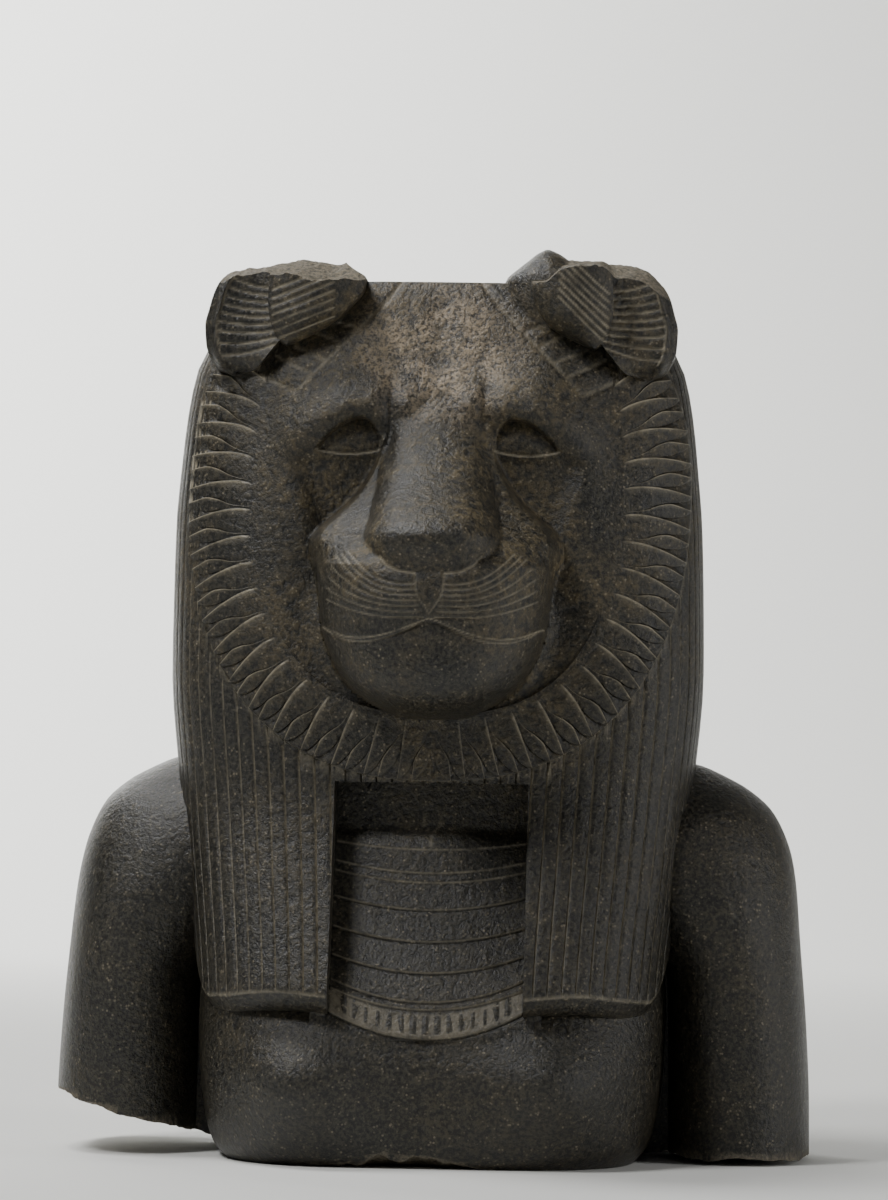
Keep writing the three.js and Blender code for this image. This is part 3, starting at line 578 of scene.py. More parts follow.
def makeMane():
    rows = np.concatenate([[0, 0.03, 0.07, 0.12, 0.18], np.linspace(0.24, 0.94, 19), [0.965, 0.985, 1.0]])
    cells = mane["locksPerSide"]
    front, lifts, lines = [], [], []
    for row in rows:
        places, heights, edges = lockCell(row)
        tips = (2 * np.arange(cells)[:, None] + places[None, :]).ravel()
        share = 1 - np.concatenate([tips, [2 * cells]]) / (2 * cells)
        inner, outer = evenAngle(ruffRadius, share), evenAngle(rimRadius, share)
        radius = mix(ruffRadius(inner), rimRadius(outer), row)
        bow = mane["bow"] * row ** 0.6 * (1 - row) / 0.347
        angle = mix(inner, outer, row)
        angle = angle + bow * ease(-1.35, -0.9, angle) / radius
        x, z = radius * np.cos(angle), mane["centre"] + radius * np.sin(angle)
        depth = wigDepthAt(x, z) + mix(mane["ruffLift"], mane["lift"], ease(0.09, 0.2, row))
        grown = ease(0.05, 0.3, row) * mix(0.45, 1, ease(0.1, 0.7, row)) * (1 - ease(0.985, 1, row))
        lift = np.concatenate([np.tile(heights, cells), [0.3]]) * grown
        # the upper edge of each lock is painted pale as a painted highlight, and the ruff and the rim get
        # pale lines too
        edge = np.concatenate([np.tile(edges, cells), [0]]) * ease(0.04, 0.2, row)
        # towards the chin the locks are worn lower and their painted highlights are weaker
        wearAndHighlight = mix(0.4, 1, ease(0.02, 0.3, share))
        lift, edge = lift * wearAndHighlight, edge * wearAndHighlight
        edge = np.maximum(1.3 * edge, 0.1 * bell(row, 0.02) + 0.35 * bell(row - 1, 0.01))
        right = np.stack([x, -depth, z], -1)
        # from the left ear down to the chin and up to the right ear
        front.append(np.concatenate([right * [-1, 1, 1], right[:-1][::-1]]))
        lifts.append(np.concatenate([lift, lift[:-1][::-1]]))
        lines.append(np.concatenate([edge, edge[:-1][::-1]]))
    front, lifts, lines = (np.array(part)[::-1] for part in (front, lifts, lines))
    back = front.copy()
    back[..., 1] = -20
    made = slab("mane", front, back)
    writeAttribute(made, "lock", np.concatenate([lifts.ravel(), np.zeros(lifts.size)]))
    writeAttribute(made, "line", np.concatenate([lines.ravel()] * 2))
    runTree(made, makeLockTree(), {"Relief": mane["relief"] * mm})
    remember(made)
    return made


# the face: brow, cheeks and forehead, then the muzzle and the nose standing out from them
face = {
    "skin": [[297, 110], [340, 105], [380, 100], [420, 98], [450, 98], [478, 101], [500, 104],
             [515, 102], [545, 89], [575, 77], [590, 70], [597, 65]],
    "ridge": [[297, 3], [299, 20], [304, 33], [310, 44], [321, 58], [341, 70], [360, 76], [380, 78],
              [400, 78.5], [413, 78], [423, 74], [434, 64], [446, 53], [462, 43.6], [478, 37.5], [500, 35],
              [520, 35]],
    "muzzle": [[298, 112], [303, 150], [309, 168], [318, 178], [330, 183], [341, 185.5], [352, 187],
               [361, 187], [368, 189], [378, 192], [390, 191], [402, 186], [412, 178], [418, 169],
               [434, 148], [446, 135], [462, 121], [478, 111], [500, 105]],
    "edge": [[298, 104], [340, 104], [372, 108], [390, 117], [404, 126], [413, 132], [418, 134.5], [423, 133],
             [434, 126.5], [446, 118], [462, 110.5], [478, 106], [500, 104.5]],
    "edgePower": [[400, 3.0], [425, 1.7]], "fall": [[400, 0.476], [425, 1.0]],
    "nose": [[386, 172], [391, 185], [398, 190], [406, 193], [413, 195.5], [419, 196], [425, 192.5],
             [432, 184.5], [441, 172], [456, 150], [476, 128], [492, 115], [506, 107], [518, 98], [530, 86]],
    "noseHalfWidth": [[386, 35], [413, 35], [430, 31.5], [450, 30.5], [480, 31.5], [500, 32], [530, 29]],
    "eyeInner": 39, "eyeOuter": 82, "eyeFloor": 480, "eyeRise": 21.5, "eyePeak": 0.27, "eyeSag": 3,
    "browHeight": 510, "browDrop": 22, "brow": 6, "lineDepth": 1.1, "lineWidth": 0.75,
}


def upperLid(w):
    w = np.clip(w, 0, 1)
    peak = face["eyePeak"]
    outer = 1 - np.clip((w - peak) / (1 - peak), 0, 1) ** 1.9
    inner = np.sqrt(1 - np.clip((peak - w) / (peak + 0.02), 0, 1) ** 2)
    return face["eyeFloor"] + face["eyeRise"] * np.where(w > peak, outer, inner)


def lowerLid(w):
    return face["eyeFloor"] - face["eyeSag"] * np.sin(math.pi * np.clip(w, 0, 1)) ** 0.8


def mouthHeight(out):
    return 365 - 13 * np.sin(np.clip(out / 76, 0, 1) * math.pi * 0.82) ** 1.15 + 2 * ease(55, 76, out)


def skinAt(x, z):
    out = np.abs(x)
    share = out / along(wig["halfWidth"], z)
    edge = wigDepthAt(x, z) + mane["ruffLift"]
    depth = mix(along(face["skin"], z), edge, ease(0.35, 0.7, share))
    depth = depth - 7 * share ** 2 * ease(540, 597, z)
    depth = depth - 1.6 * bell(x, 10) * ease(515, 540, z) * (1 - ease(570, 597, z))
    depth = depth + 4 * bell(out - 22, 9) * bell(z - 511, 10)
    return depth - 2.5 * bell(x, 8) * bell(z - 505, 14)


def browAt(out, z):
    line = face["browHeight"] - face["browDrop"] * np.clip((out - 48) / 50, 0, 1) ** 1.6
    above = np.where(z > line, 20.0, 13.0)
    return face["brow"] * bell(z - line, above) * ease(27, 46, out) * (1 - ease(88, 120, out))


def faceAt(x, z):
    out = np.abs(x)
    skin = skinAt(x, z)
    cheek = skin + browAt(out, z)
    outerEdge = mix(82, 99, np.clip((z - 425) / 50, 0, 1))
    hollow = (1 - ease(outerEdge - 12, outerEdge + 7, out)) * (1 - ease(470, 482, z)) * ease(412, 430, z)
    cheek = cheek - 4.5 * hollow + bell(out - outerEdge - 9, 11) * (1 - ease(470, 492, z)) * ease(395, 425, z)
    ridge = along(face["ridge"], z)
    reach = np.minimum(1, out / ridge)
    edge = mix(skin - 0.5, along(face["edge"], z), ease(365, 412, z))
    swell = (1 - reach ** along(face["edgePower"], z)) ** along(face["fall"], z)
    mass = edge + (along(face["muzzle"], z) - edge) * swell - 4 * np.maximum(out - ridge, 0)
    under = cheek - 3 * ease(470, 500, z) * (out < ridge)
    depth = np.where((z > 298) & (z < 503), joinedMax(under, mass, 4), cheek)
    foot = np.clip(1 - (out - ridge) / 14, 0, 1) * ease(300, 330, z) * (1 - ease(360, 410, z))
    depth = np.where(out < ridge, depth, depth + 5 * foot ** 2)
    lip = mouthHeight(out)
    depth = depth - 2.4 * (1 - ease(-1.6, 0.2, z - lip)) * ease(-32, -6, z - lip) * (1 - ease(66, 76, out))
    share = out / along(face["noseHalfWidth"], z)
    nose = along(face["nose"], z) - 9 * share ** 2 - 4 * share ** 6
    depth = np.where((z > 386) & (z < 530) & (share < 1.7), joinedMax(depth, nose, 3), depth)
    depth = depth - 2.2 * bell(out - 32, 3.5) * ease(452, 474, z) * (1 - ease(518, 534, z))
    w = (out - face["eyeInner"]) / (face["eyeOuter"] - face["eyeInner"])
    gap = np.minimum(upperLid(w) - z, z - lowerLid(w))
    gap = np.minimum(gap, np.minimum(out - face["eyeInner"], face["eyeOuter"] - out) * 1.2)
    ball = 99.5 + 3 * np.clip(1 - ((out - 58) / 25) ** 2 - ((z - 489) / 15) ** 2, 0, 1) - 0.1 * (z - 480)
    ball = ball - 0.13 * np.maximum(out - 58, 0)
    return mix(depth, np.minimum(ball, depth - 1.2), ease(0, 1.1, gap))


def onFace(places):
    return np.stack([places[:, 0], -faceAt(places[:, 0], places[:, 1]), places[:, 1]], -1)


def finely(places, step=1.5):
    places = np.asarray(places, float)
    length = np.concatenate([[0], np.cumsum(np.hypot(*np.diff(places, axis=0).T))])
    at = np.linspace(0, length[-1], max(2, int(length[-1] / step) + 1))
    return np.stack([np.interp(at, length, places[:, 0]), np.interp(at, length, places[:, 1])], -1)


def faceLines():
    deep, fine = [], []
    out = np.linspace(0, 74, 40)
    deep.append(np.stack([out, mouthHeight(out) - 0.6], -1))
    fine.append(np.stack([out, mouthHeight(out) - 3.2 * np.sin(out / 76 * math.pi) ** 0.5], -1)[4:])
    deep.append([[10, 394], [21, 395.5], [29, 399.5], [33.5, 405]])
    fine.append([[9.5, 393], [9.2, 384], [6.5, 376.7], [0, 367.5]])
    t = np.linspace(0, 1, 30)
    for k in range(7):
        begin = [mix(9.5, 3.5, (k / 6) ** 2), 387.3 - 3.7 * k]
        finish = [71 - 16 * (1 - k / 6) ** 1.8, min(408.6 - 1.5 * k, 405.6 - 7 * (k - 2))]
        rise = mix(begin[1], finish[1], t ** 2.6) - np.sin(t * math.pi)
        fine.append(np.stack([mix(begin[0], finish[0], t), rise], -1))
    w = np.linspace(0, 1, 40) ** 1.5
    x = mix(face["eyeInner"], face["eyeOuter"], w)
    faint = [np.stack([x, upperLid(w)], -1)]
    deep.append(np.stack([x, lowerLid(w)], -1))
    strip = [[[97, 519], [85, 532], [66, 552], [54, 564], [43, 576], [34, 587], [27, 597]]]
    strip += [[[98, 519], [126, 533]], [[88, 532], [114, 545]], [[77, 541], [99, 550]],
              [[66, 552], [84, 560]], [[56, 563], [70, 567]]]
    made = []
    groups = {"deepLines": deep, "fineLines": fine, "faintLines": faint, "stripLines": strip}
    for name, group in groups.items():
        both = [finely(line) * [side, 1] for side in (-1, 1) for line in group]
        made.append(lineObject(name, [onFace(line) for line in both]))
    return made


def makeCarveTree():
    sizes = [(name, "NodeSocketFloat", 1.0) for name in ("Width", "Depth", "Show")]
    tree, start, end = newTree("carveLines", [("Lines", "NodeSocketObject", None), *sizes])
    source = addNode(tree, "GeometryNodeObjectInfo", {"Object": start.outputs["Lines"]}).outputs["Geometry"]
    near = addNode(tree, "GeometryNodeProximity", {"Geometry": source}, [("target_element", "EDGES")])
    share = maths(tree, "DIVIDE", near.outputs["Distance"], start.outputs["Width"])
    cut = maths(tree, "EXPONENT", maths(tree, "MULTIPLY", maths(tree, "MULTIPLY", share, share), -1.0))
    line = maths(tree, "MAXIMUM", named(tree, "line"), maths(tree, "MULTIPLY", cut, start.outputs["Show"]))
    shape = stored(tree, start.outputs["Geometry"], "line", line)
    lift = maths(tree, "MULTIPLY", maths(tree, "MULTIPLY", cut, start.outputs["Depth"]), -1.0)
    tree.links.new(movedForward(tree, shape, lift), end.inputs["Geometry"])
    return tree


carveTree = makeCarveTree()


def carve(thing, lines, width, depth, show=1.0):
    runTree(thing, carveTree, {"Lines": lines, "Width": width * mm, "Depth": depth * mm, "Show": show})
    discard(lines)


def spaced(*stretches):
    parts = [np.arange(low, high, step) for low, high, step in stretches]
    return np.concatenate([*parts, [stretches[-1][1]]])


def makeFace():
    right = spaced((0, 84, 1.25), (84, 126, 2.4))
    xs = np.concatenate([-right[:0:-1], right])
    zs = spaced((296, 312, 1.2), (312, 344, 2.8), (344, 410, 1.0), (410, 472, 1.8), (472, 506, 1.0),
                (506, wig["crown"], 2.1))
    x, z = np.meshgrid(xs, zs)
    depth = faceAt(x, z)
    angle = np.arctan2(z - mane["centre"], x)
    outside = np.hypot(x, z - mane["centre"]) > ruffRadius(angle) + 4
    depth = np.where(outside, 25, depth)
    made = slab("face", np.stack([x, -depth, z], -1), np.stack([x, np.full_like(x, -20), z], -1))
    deep, fine, faint, strip = faceLines()
    # the deep lines, the lower lids among them, are painted pale in full, partly as a painted highlight; the
    # upper lids stay unpainted
    carve(made, deep, face["lineWidth"] * 1.2, face["lineDepth"] * 1.3)
    carve(made, fine, face["lineWidth"], face["lineDepth"] * 0.8, 0.6)
    carve(made, faint, face["lineWidth"] * 1.3, face["lineDepth"], 0)
    carve(made, strip, face["lineWidth"] * 2, face["lineDepth"] * 1.4, 0.5)
    remember(made)
    return made


# the ears: a cupped leaf with fanned ribs, and a domed tuft of hair beside it; both tops are broken off
ear = {
    "pinnaOuter": [[531, 143], [535, 152], [542, 156.5], [551, 160], [565, 161], [576, 158.5],
                   [588, 155], [602, 147], [612, 140], [620, 128]],
    "pinnaInner": [[531, 137], [535, 126], [546, 116], [551, 112], [560, 106], [620, 106]],
    "tuftOuter": [[550.5, 103], [552, 107], [556, 111], [564, 114.5], [580, 117], [600, 116], [620, 112]],
    "tuftInner": {-1: [[550.5, 105], [556, 92], [566, 74], [577, 62], [590, 52.5], [598, 51.5],
                       [605, 60.5], [610, 66], [620, 72]],
                  1: [[550.5, 105], [556, 92], [566, 74], [577, 66], [590, 62], [620, 62]]},
    "knob": [[560, 36, 20, 76], [590, 34, 27, 76], [600, 30, 26, 73.5], [607, 22, 22, 73],
             [613, 14, 17, 72.5], [617.5, 8, 11, 72], [620.5, 2, 3, 71.5]],
    "brokenTop": {-1: [[40, 609], [95, 610.5], [115, 607.5], [138, 605], [150, 600], [172, 588]],
                  1: [[40, 600], [70, 604], [84, 612.5], [105, 613.5], [116, 611.5], [127, 610.5],
                      [140, 605.5], [147, 601], [172, 575]]},
    "brokenDrop": {-1: [[60, 14], [85, 16], [105, 11], [120, 9], [160, 8]],
                   1: [[84, 8], [110, 7], [120, 13], [160, 15]]},
    "ribDepth": 1.2, "ribWidth": 0.8, "hairs": {-1: (0.34, 42), 1: (0.8, 34)},   # slope and length
}


def pinnaAt(out, z, side):
    inner, outer = along(ear["pinnaInner"], z), along(ear["pinnaOuter"], z)
    u = np.clip((out - inner) / (outer - inner), 0, 1)
    band = ease(8.2, 9.2, outer - out)
    rounding = 10 * (1 - ease(531, 545, z)) ** 1.6 + 7 * ease(0.8, 1, u) ** 2
    return 86 - 7 * u - 3.5 * np.sin(math.pi * np.clip(u * 1.15, 0, 1)) - 1.2 * band - rounding


def tuftAt(out, z, side):
    inner, outer = along(ear["tuftInner"][side], z), along(ear["tuftOuter"], z)
    u = np.clip((out - inner) / (outer - inner), 0, 1)
    dome = np.sin(math.pi * np.clip(0.1 + u * 0.76, 0, 1)) ** 0.75
    low = 1 - ease(550.5, 574, z)
    return 80 + 20 * dome * (1 - 0.7 * low)


def onEar(depthAt, side, places):
    places = finely(places, 1.0)
    return np.stack([side * places[:, 0], -depthAt(places[:, 0], places[:, 1], side), places[:, 1]], -1)


def makeEar(side):
    v, u = np.meshgrid(np.linspace(0, 1, 72), np.linspace(0, 1, 42), indexing="ij")
    parts = []
    for name, low, inner, outer, depthAt, back in (
            ("pinna", 531, ear["pinnaInner"], ear["pinnaOuter"], pinnaAt, -34),
            ("tuft", 550.5, ear["tuftInner"][side], ear["tuftOuter"], tuftAt, -36)):
        z = mix(low, 620, v)
        x = mix(along(inner, z), along(outer, z), u)
        front = np.stack([side * x, -depthAt(x, z, side), z], -1)
        behind = np.stack([side * x, np.full_like(x, back), z], -1)
        parts.append(slab(name, facing(side, front), facing(side, behind)))
    pinna, tuft = parts
    fan = []
    t = np.linspace(0, 1, 14)
    for start in np.linspace(590, 551.5, 9):
        over = start - 563
        finish = 564 + over * (1.2 if over > 0 else 1.75)
        outer = float(along(ear["pinnaOuter"], finish)) - 9
        line = np.stack([mix(112, outer, t), mix(start, finish, t) - 1.6 * np.sin(t * math.pi)], -1)
        fan.append(onEar(pinnaAt, side, line))
    heights = np.linspace(541, 604, 20)
    fan.append(onEar(pinnaAt, side, np.stack([along(ear["pinnaOuter"], heights) - 8.6, heights], -1)))
    carve(pinna, lineObject("fan", fan), ear["ribWidth"], ear["ribDepth"])
    steep, run = ear["hairs"][side]
    hairs = []
    for k in range(7):
        line = np.stack([114 - run * t, mix(588, 554, k / 6) + steep * run * (t + 0.15 * t * t)], -1)
        hairs.append(onEar(tuftAt, side, line))
    carve(tuft, lineObject("hairs", hairs), ear["ribWidth"], ear["ribDepth"])
    remember(pinna)
    remember(tuft)
    whole = combine(combine(pinna, [tuft], "UNION"), [earBreak(side)], "DIFFERENCE")
    if side > 0:   # the knob at the inner side of this ear is whole
        around = np.linspace(0, 2 * math.pi, 56, endpoint=False)
        tables = [[[row[0], row[k]] for row in ear["knob"]] for k in (1, 2, 3)]
        rings = []
        for height in np.concatenate([np.linspace(560, 612, 20), np.linspace(613.5, 620.5, 9)]):
            wide, deep, middle = (along(table, height) for table in tables)
            rings.append(np.stack([middle + wide * np.cos(around), -56 + deep * np.sin(around),
                                   np.full_like(around, height)], -1))
        knob = ringSolid("knob", rings)
        remember(knob)
        combine(whole, [knob], "UNION")
    return whole


def earBreak(side):
    v, u = np.meshgrid(np.linspace(0, 1, 70), np.linspace(0, 1, 80), indexing="ij")
    y = mix(-125, 0, v)
    out = mix(40, 172, u)
    x = side * out
    fall = along(ear["brokenDrop"][side], out) * ease(50, 92, -y)
    z = along(ear["brokenTop"][side], out) - fall
    z = z + 1.3 * rough(x, y, 0, 15, seed=3 + side) + 0.8 * rough(x, y, 0, 4, seed=9)
    return roughSlab("earBreak", side, x, y, z, 690)


# chest between the lappets: bands of a broad collar, with a row of drops along its lower edge
collar = {
    "depth": [[72, 143], [83, 144], [86, 147], [100, 142], [150, 122], [196, 106], [219, 98], [224, 91],
              [256, 88], [280, 84]],
    "bands": [[85.5, 18, 1.2], [104.5, 14, 0.8], [109.5, 15, 1.0], [128.5, 12, 1.1], [149, 10, 1.1],
              [170, 9, 1.0], [188, 8, 0.45], [194.5, 8, 0.45], [210, 5, 0.3]],
    "neck": [(219, 4), (222, 3), (224, 2.5), (227, 2), (240, 1), (258, 0), (275, 0)],
    "drops": 15, "pitch": 7.8, "dropLow": 87.5, "dropHigh": 103, "dropLift": 2, "dropHalf": 3.4,
}


def collarAt(x, z):
    bend = (x / wig["lappetInner"]) ** 2
    depth = along(collar["depth"], z) - 5 * bend + 8 * bend * (1 - ease(104, 150, z))
    for line, sag, relief in collar["bands"]:
        over = z - line - sag * bend
        depth = depth + relief * (0.9 * bell(over - 1.5, 1.7) - bell(over + 0.7, 1.0))
    return depth


def onCollar(places):
    return np.stack([places[:, 0], -collarAt(places[:, 0], places[:, 1]), places[:, 1]], -1)


def makeDropTree():
    tree, start, end = newTree("dropRow", [("Drop", "NodeSocketObject", None), ("Count", "NodeSocketInt", 15),
                                           ("Material", "NodeSocketMaterial", None)])
    source = addNode(tree, "GeometryNodeObjectInfo", {"Object": start.outputs["Drop"]}).outputs["Geometry"]
    curve = addNode(tree, "GeometryNodeMeshToCurve", {"Mesh": start.outputs["Geometry"]}).outputs[0]
    spread = {"Curve": curve, "Count": start.outputs["Count"]}
    points = addNode(tree, "GeometryNodeCurveToPoints", spread, [("mode", "COUNT")]).outputs["Points"]
    drops = addNode(tree, "GeometryNodeInstanceOnPoints", {"Points": points, "Instance": source}).outputs[0]
    real = addNode(tree, "GeometryNodeRealizeInstances", {"Geometry": drops}).outputs[0]
    stoned = {"Geometry": real, "Material": start.outputs["Material"]}
    tree.links.new(addNode(tree, "GeometryNodeSetMaterial", stoned).outputs[0], end.inputs["Geometry"])
    return tree


def makeDrops():
    tall = collar["dropHigh"] - collar["dropLow"]
    half = collar["dropHalf"]
    around = np.linspace(0, 2 * math.pi, 12, endpoint=False)
    rings = []
    for t in np.linspace(0, 1, 9):
        wide = half * np.sin(math.pi * (0.22 + 0.7 * t)) ** 0.8
        deep = (collar["dropLift"] + 2) * (0.5 + 0.5 * wide / half)
        rings.append(np.stack([wide * np.cos(around), 6 * t + deep * np.sin(around),
                               np.full_like(around, t * tall)], -1))
    single = ringSolid("drop", rings)
    x = np.linspace(-0.5, 0.5, 60) * (collar["drops"] - 1) * collar["pitch"]
    z = collar["dropLow"] + 17 * (x / wig["lappetInner"]) ** 2
    row = lineObject("dropRow", [np.stack([x, -(collarAt(x, z + 4) - 2), z], -1)])
    runTree(row, makeDropTree(), {"Drop": single, "Count": collar["drops"], "Material": stoneMaterial})
    discard(single)
    return row


def makeCollar():
    u = np.linspace(-1, 1, 57) * (wig["lappetInner"] + 12)
    bend = (u / wig["lappetInner"]) ** 2
    rows = [(62.0, 0.0)]
    for line, sag, relief in collar["bands"]:
        for offset in (-3, -1.6, -0.7, 0.1, 0.9, 2.0, 3.6):
            if line + offset > rows[-1][0] + 0.3:
                rows.append((line + offset, sag))
    rows += collar["neck"]
    front = []
    for height, sag in rows:
        z = height + sag * bend
        front.append(np.stack([u, -collarAt(u, z), z], -1))
    front = np.array(front)
    back = front.copy()
    back[..., 1] = -30
    made = slab("collar", front, back)
    x = np.linspace(-66, 66, 60)
    sags = (x / wig["lappetInner"]) ** 2
    lines = [np.stack([x, line + 0.9 + sag * sags], -1) for line, sag, relief in collar["bands"]]
    lines += [[[0, 214], [0, 221], [-7, 228]], [[0, 221], [7, 228]]]
    # the band lines are painted pale, a painted highlight along each band's upper edge
    carve(made, lineObject("bandLines", [onCollar(finely(line)) for line in lines]), 0.9, 0.25, 0.5)
    at = pointsOf(made)
    over = at[:, 2] - 17 * (at[:, 0] / wig["lappetInner"]) ** 2
    markLines(made, 0.45 * ease(85.5, 87.5, over) * (1 - ease(101, 104, over)))
    drops = makeDrops()
    remember(made)
    remember(drops)
    return combine(made, [drops], "UNION")


# torso with the breasts swelling below the lappets
torso = {
    "halfWidth": [[0, 141], [10, 149], [30, 155], [66, 159], [104, 160], [150, 156], [200, 146], [276, 112]],
    "front": [[0, 140], [10, 147], [30, 150], [58, 150], [84, 145], [104, 138], [150, 118], [200, 98],
              [276, 70]], "power": 3.4,
    "back": [[0, 122], [30, 126], [120, 128], [200, 124], [276, 100]],
    "breastOut": 88, "breastHeight": 56, "breastBulge": 20,
}


def makeTorso():
    around = np.linspace(0, 2 * math.pi, 176, endpoint=False)
    heights = np.concatenate([[0, 1.2, 3, 6], np.linspace(10, 112, 26), np.linspace(120, 276, 14)])
    rings = []
    for z in heights:
        x, y = planPoint(around, along(torso["halfWidth"], z), along(torso["front"], z),
                         along(torso["back"], z), torso["power"], torso["power"])
        breast = bell(np.abs(x) - torso["breastOut"], 44) * bell(z - torso["breastHeight"], 36)
        swell = torso["breastBulge"] * breast * ease(0.25, 0.9, -np.sin(around))
        rings.append(np.stack([x, y - swell, np.full_like(x, z)], -1))
    made = ringSolid("torso", rings)
    remember(made)
    return made


# the upper arms, broken off below, joined to the body by a web of stone
arm = {
    "outer": [[-6, 260], [40, 259.4], [88, 257], [136, 253], [178, 248.5], [206, 243], [223, 237.5],
              [240, 229], [254, 214], [263, 198], [270, 182], [275, 160]],
    "inner": [[-6, 162], [120, 160], [150, 146], [200, 110], [275, 60]],
    "front": [[-6, 72], [100, 74], [173, 76], [208, 70], [233, 60], [251, 45], [263, 33], [270, 24],
              [275, 12]],
    "back": [[-6, 88], [100, 92], [190, 90], [230, 80], [255, 66], [275, 40]], "power": 2.25,
    "shoulder": 215, "swell": {-1: 1, 1: 3}, "breakInner": {-1: 4, 1: 5}, "breakOuter": {-1: 48, 1: 4},
    "webInner": 130, "webOuter": 190, "webFront": 18, "webBack": 66, "webTop": 230,
}


def makeArm(side):
    around = np.linspace(0, 2 * math.pi, 96, endpoint=False)
    heights = np.concatenate([np.linspace(-6, 200, 26), np.linspace(206, 268, 17),
                              [270, 272, 273.6, 274.6, 275]])
    rings = []
    for z in heights:
        outer = along(arm["outer"], z) + arm["swell"][side] * bell(z - arm["shoulder"], 38)
        inner = along(arm["inner"], z)
        x, y = planPoint(around, (outer - inner) / 2, along(arm["front"], z), along(arm["back"], z),
                         arm["power"], arm["power"])
        rings.append(np.stack([side * (outer + inner) / 2 + x, y, np.full_like(x, z)], -1))
    made = ringSolid("arm", rings)
    remember(made)
    ends = sorted((side * arm["webInner"], side * arm["webOuter"]))
    web = box("web", [ends[0], -arm["webFront"], -6], [ends[1], arm["webBack"], arm["webTop"]])
    return combine(made, [web], "UNION")


def roughSlab(name, side, x, y, z, reach):
    # a block with one broken side, from there up or down to the height reach
    broken = np.stack([x, y, z], -1)
    plain = broken.copy()
    plain[..., 2] = reach
    upper, lower = (plain, broken) if reach > z.max() else (broken, plain)
    made = slab(name, facing(side, upper), facing(side, lower))
    writeAttribute(made, "broken", np.ones(len(made.data.vertices)))
    remember(made)
    return made


def armBreak(side):
    v, u = np.meshgrid(np.linspace(0, 1, 80), np.linspace(0, 1, 64), indexing="ij")
    x, y = side * mix(128, 275, u), mix(-95, 110, v)
    z = mix(arm["breakInner"][side], arm["breakOuter"][side], u) + 2.0 * rough(x, y, 0, 26, seed=5 + side)
    return roughSlab("armBreak", side, x, y, z + 0.9 * rough(x, y, 0, 5, seed=15), -20)


chips = {"bed": -0.6, "along": [(-18, 48, 8), (138, 22, 7), (-142, 14, 8)]}   # place, width and height


def baseChips():
    v, u = np.meshgrid(np.linspace(0, 1, 44), np.linspace(0, 1, 140), indexing="ij")
    x, y = mix(-150, 150, u), mix(-175, -100, v)
    wide = sum(height * bell(x - place, width) for place, width, height in chips["along"])
    fade = 1 - ease(-150, -108, y)
    z = chips["bed"] + wide * fade * (0.9 + 0.4 * rough(x, y, 0, 14, seed=21))
    return roughSlab("chips", 1, x, y, z + 0.5 * fade * rough(x, y, 0, 3, seed=23), -20)


def facePocket():
    angle = np.linspace(0, 2 * math.pi, 120, endpoint=False)
    high = (angle > mane["top"] - 0.03) & (angle < math.pi - mane["top"] + 0.03)
    rings = []
    for depth, inset in mane["pocket"]:
        radius = np.where(high, ruffRadius(angle), rimRadius(angle) - 8) - inset
        z = np.minimum(mane["centre"] + radius * np.sin(angle), wig["crown"] - 14)
        rings.append(np.stack([radius * np.cos(angle), np.full_like(z, -depth), z], -1))
    return ringSolid("pocket", rings)


print("cutting the stone")
stone = makeWig()
combine(stone, [facePocket(), box("gap", [-65, -300, 60], [65, -40, 256])], "DIFFERENCE")
ears = [makeEar(side) for side in (-1, 1)]
arms = [combine(makeArm(side), [armBreak(side)], "DIFFERENCE") for side in (-1, 1)]
pillarSolid = box("pillar", [-pillar["halfWidth"], pillar["front"], 0],
                  [pillar["halfWidth"], pillar["back"], pillar["top"]])
edges = pillarSolid.modifiers.new("edges", "BEVEL")
edges.width, edges.segments = pillar["wornEdge"] * mm, 3
settle(pillarSolid)
remember(pillarSolid)
combine(stone, [makeMane(), makeFace(), *ears, makeTorso(), makeCollar(), *arms, pillarSolid], "UNION")
combine(stone, [baseChips()], "DIFFERENCE")
stone.name = stone.data.name = "carvedStone"
faceCount = len(stone.data.polygons)
print("stone has", faceCount, "faces,", len(stone.data.loops) - 2 * faceCount, "triangles")


def dressSurface(thing):
    known = np.concatenate(looks["points"])
    tree = kdtree.KDTree(len(known))
    for i, p in enumerate(known):
        tree.insert(p, i)
    tree.balance()
    found = np.array([tree.find(p)[1] for p in pointsOf(thing)])
    flat = [i for polygon in thing.data.polygons if polygon.area > flatArea for i in polygon.vertices]
    for name in ("line", "broken"):
        values = np.concatenate(looks[name])[found]
        values[flat] = 0   # nothing is drawn out across the large flat faces
        writeAttribute(thing, name, values)


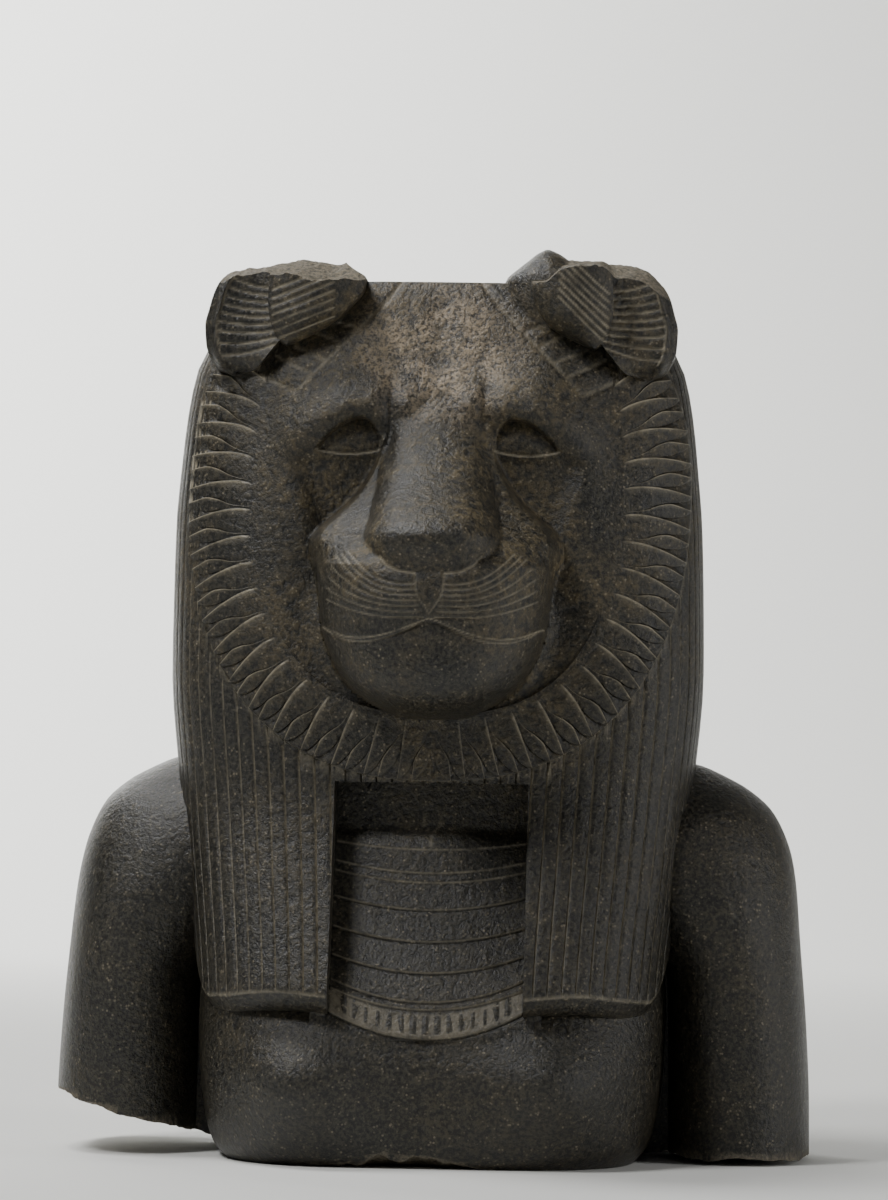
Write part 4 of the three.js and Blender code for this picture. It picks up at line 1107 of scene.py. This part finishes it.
dressSurface(stone)
stone.data.transform(intoFrame)
stone.data.materials.clear()
stone.data.materials.append(stoneMaterial)
for polygon in stone.data.polygons:
    polygon.use_smooth = polygon.area < flatArea
    polygon.material_index = 0
stone.data.set_sharp_from_angle(angle=math.radians(50))
print("surface dressed")
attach(stone, "root")
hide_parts("bust")


# studio: pale floor running up into a pale wall, key from the upper left, weak fill from the right
studio = {"floor": (0.8, 0.8, 0.77), "key": 36, "top": 24, "fill": 18, "wallWash": 300, "world": 0.06,
          "sweepFrom": 3000, "wallAt": 4700, "wallTop": 6000, "reach": 5000}


def areaLight(name, place, target, size):
    data = bpy.data.lights.new(name, "AREA")
    data.shape = "RECTANGLE"
    data.size, data.size_y = size
    data.energy = studio[name]
    made = bpy.data.objects.new(name, data)
    scene.collection.objects.link(made)
    made.location = place
    made.rotation_euler = (Vector(target) - Vector(place)).to_track_quat("-Z", "Y").to_euler()


foot, reach = studio["sweepFrom"], studio["reach"]
bend = studio["wallAt"] - foot
profile = [[-reach, 0], [foot, 0]]
for t in np.linspace(0, math.pi / 2, 24)[1:]:
    profile.append([foot + bend * math.sin(t), bend * (1 - math.cos(t))])
profile.append([studio["wallAt"], studio["wallTop"]])
sweep = np.array([[[x, y, z] for x in (-reach, reach)] for y, z in profile], float)
floor = meshObject("floor", sweep.reshape(-1, 3), gridFaces(len(profile), 2))
for polygon in floor.data.polygons:
    polygon.use_smooth = True
plain = bpy.data.materials.new("plainFloor")
plain.use_nodes = True
paint = plain.node_tree.nodes["Principled BSDF"].inputs
paint["Base Color"].default_value = (*studio["floor"], 1)
paint["Roughness"].default_value = 0.9
floor.data.materials.append(plain)
world = bpy.data.worlds.new("studio")
scene.world = world
world.use_nodes = True
sky = world.node_tree.nodes["Background"].inputs
sky["Color"].default_value = (1, 1, 1, 1)
sky["Strength"].default_value = studio["world"]
areaLight("key", (-1.2, -1.1, 2.2), (0, 0, 0.42), (0.6, 0.6))
areaLight("top", (-0.75, 0.1, 2.0), (0, -0.1, 0.5), (0.5, 0.7))
areaLight("fill", (2.2, -0.7, 0.9), (0, 0, 0.3), (0.6, 1.4))
areaLight("wallWash", (-2.2, 3.0, 2.9), (-0.9, 4.7, 1.7), (2.0, 0.9))
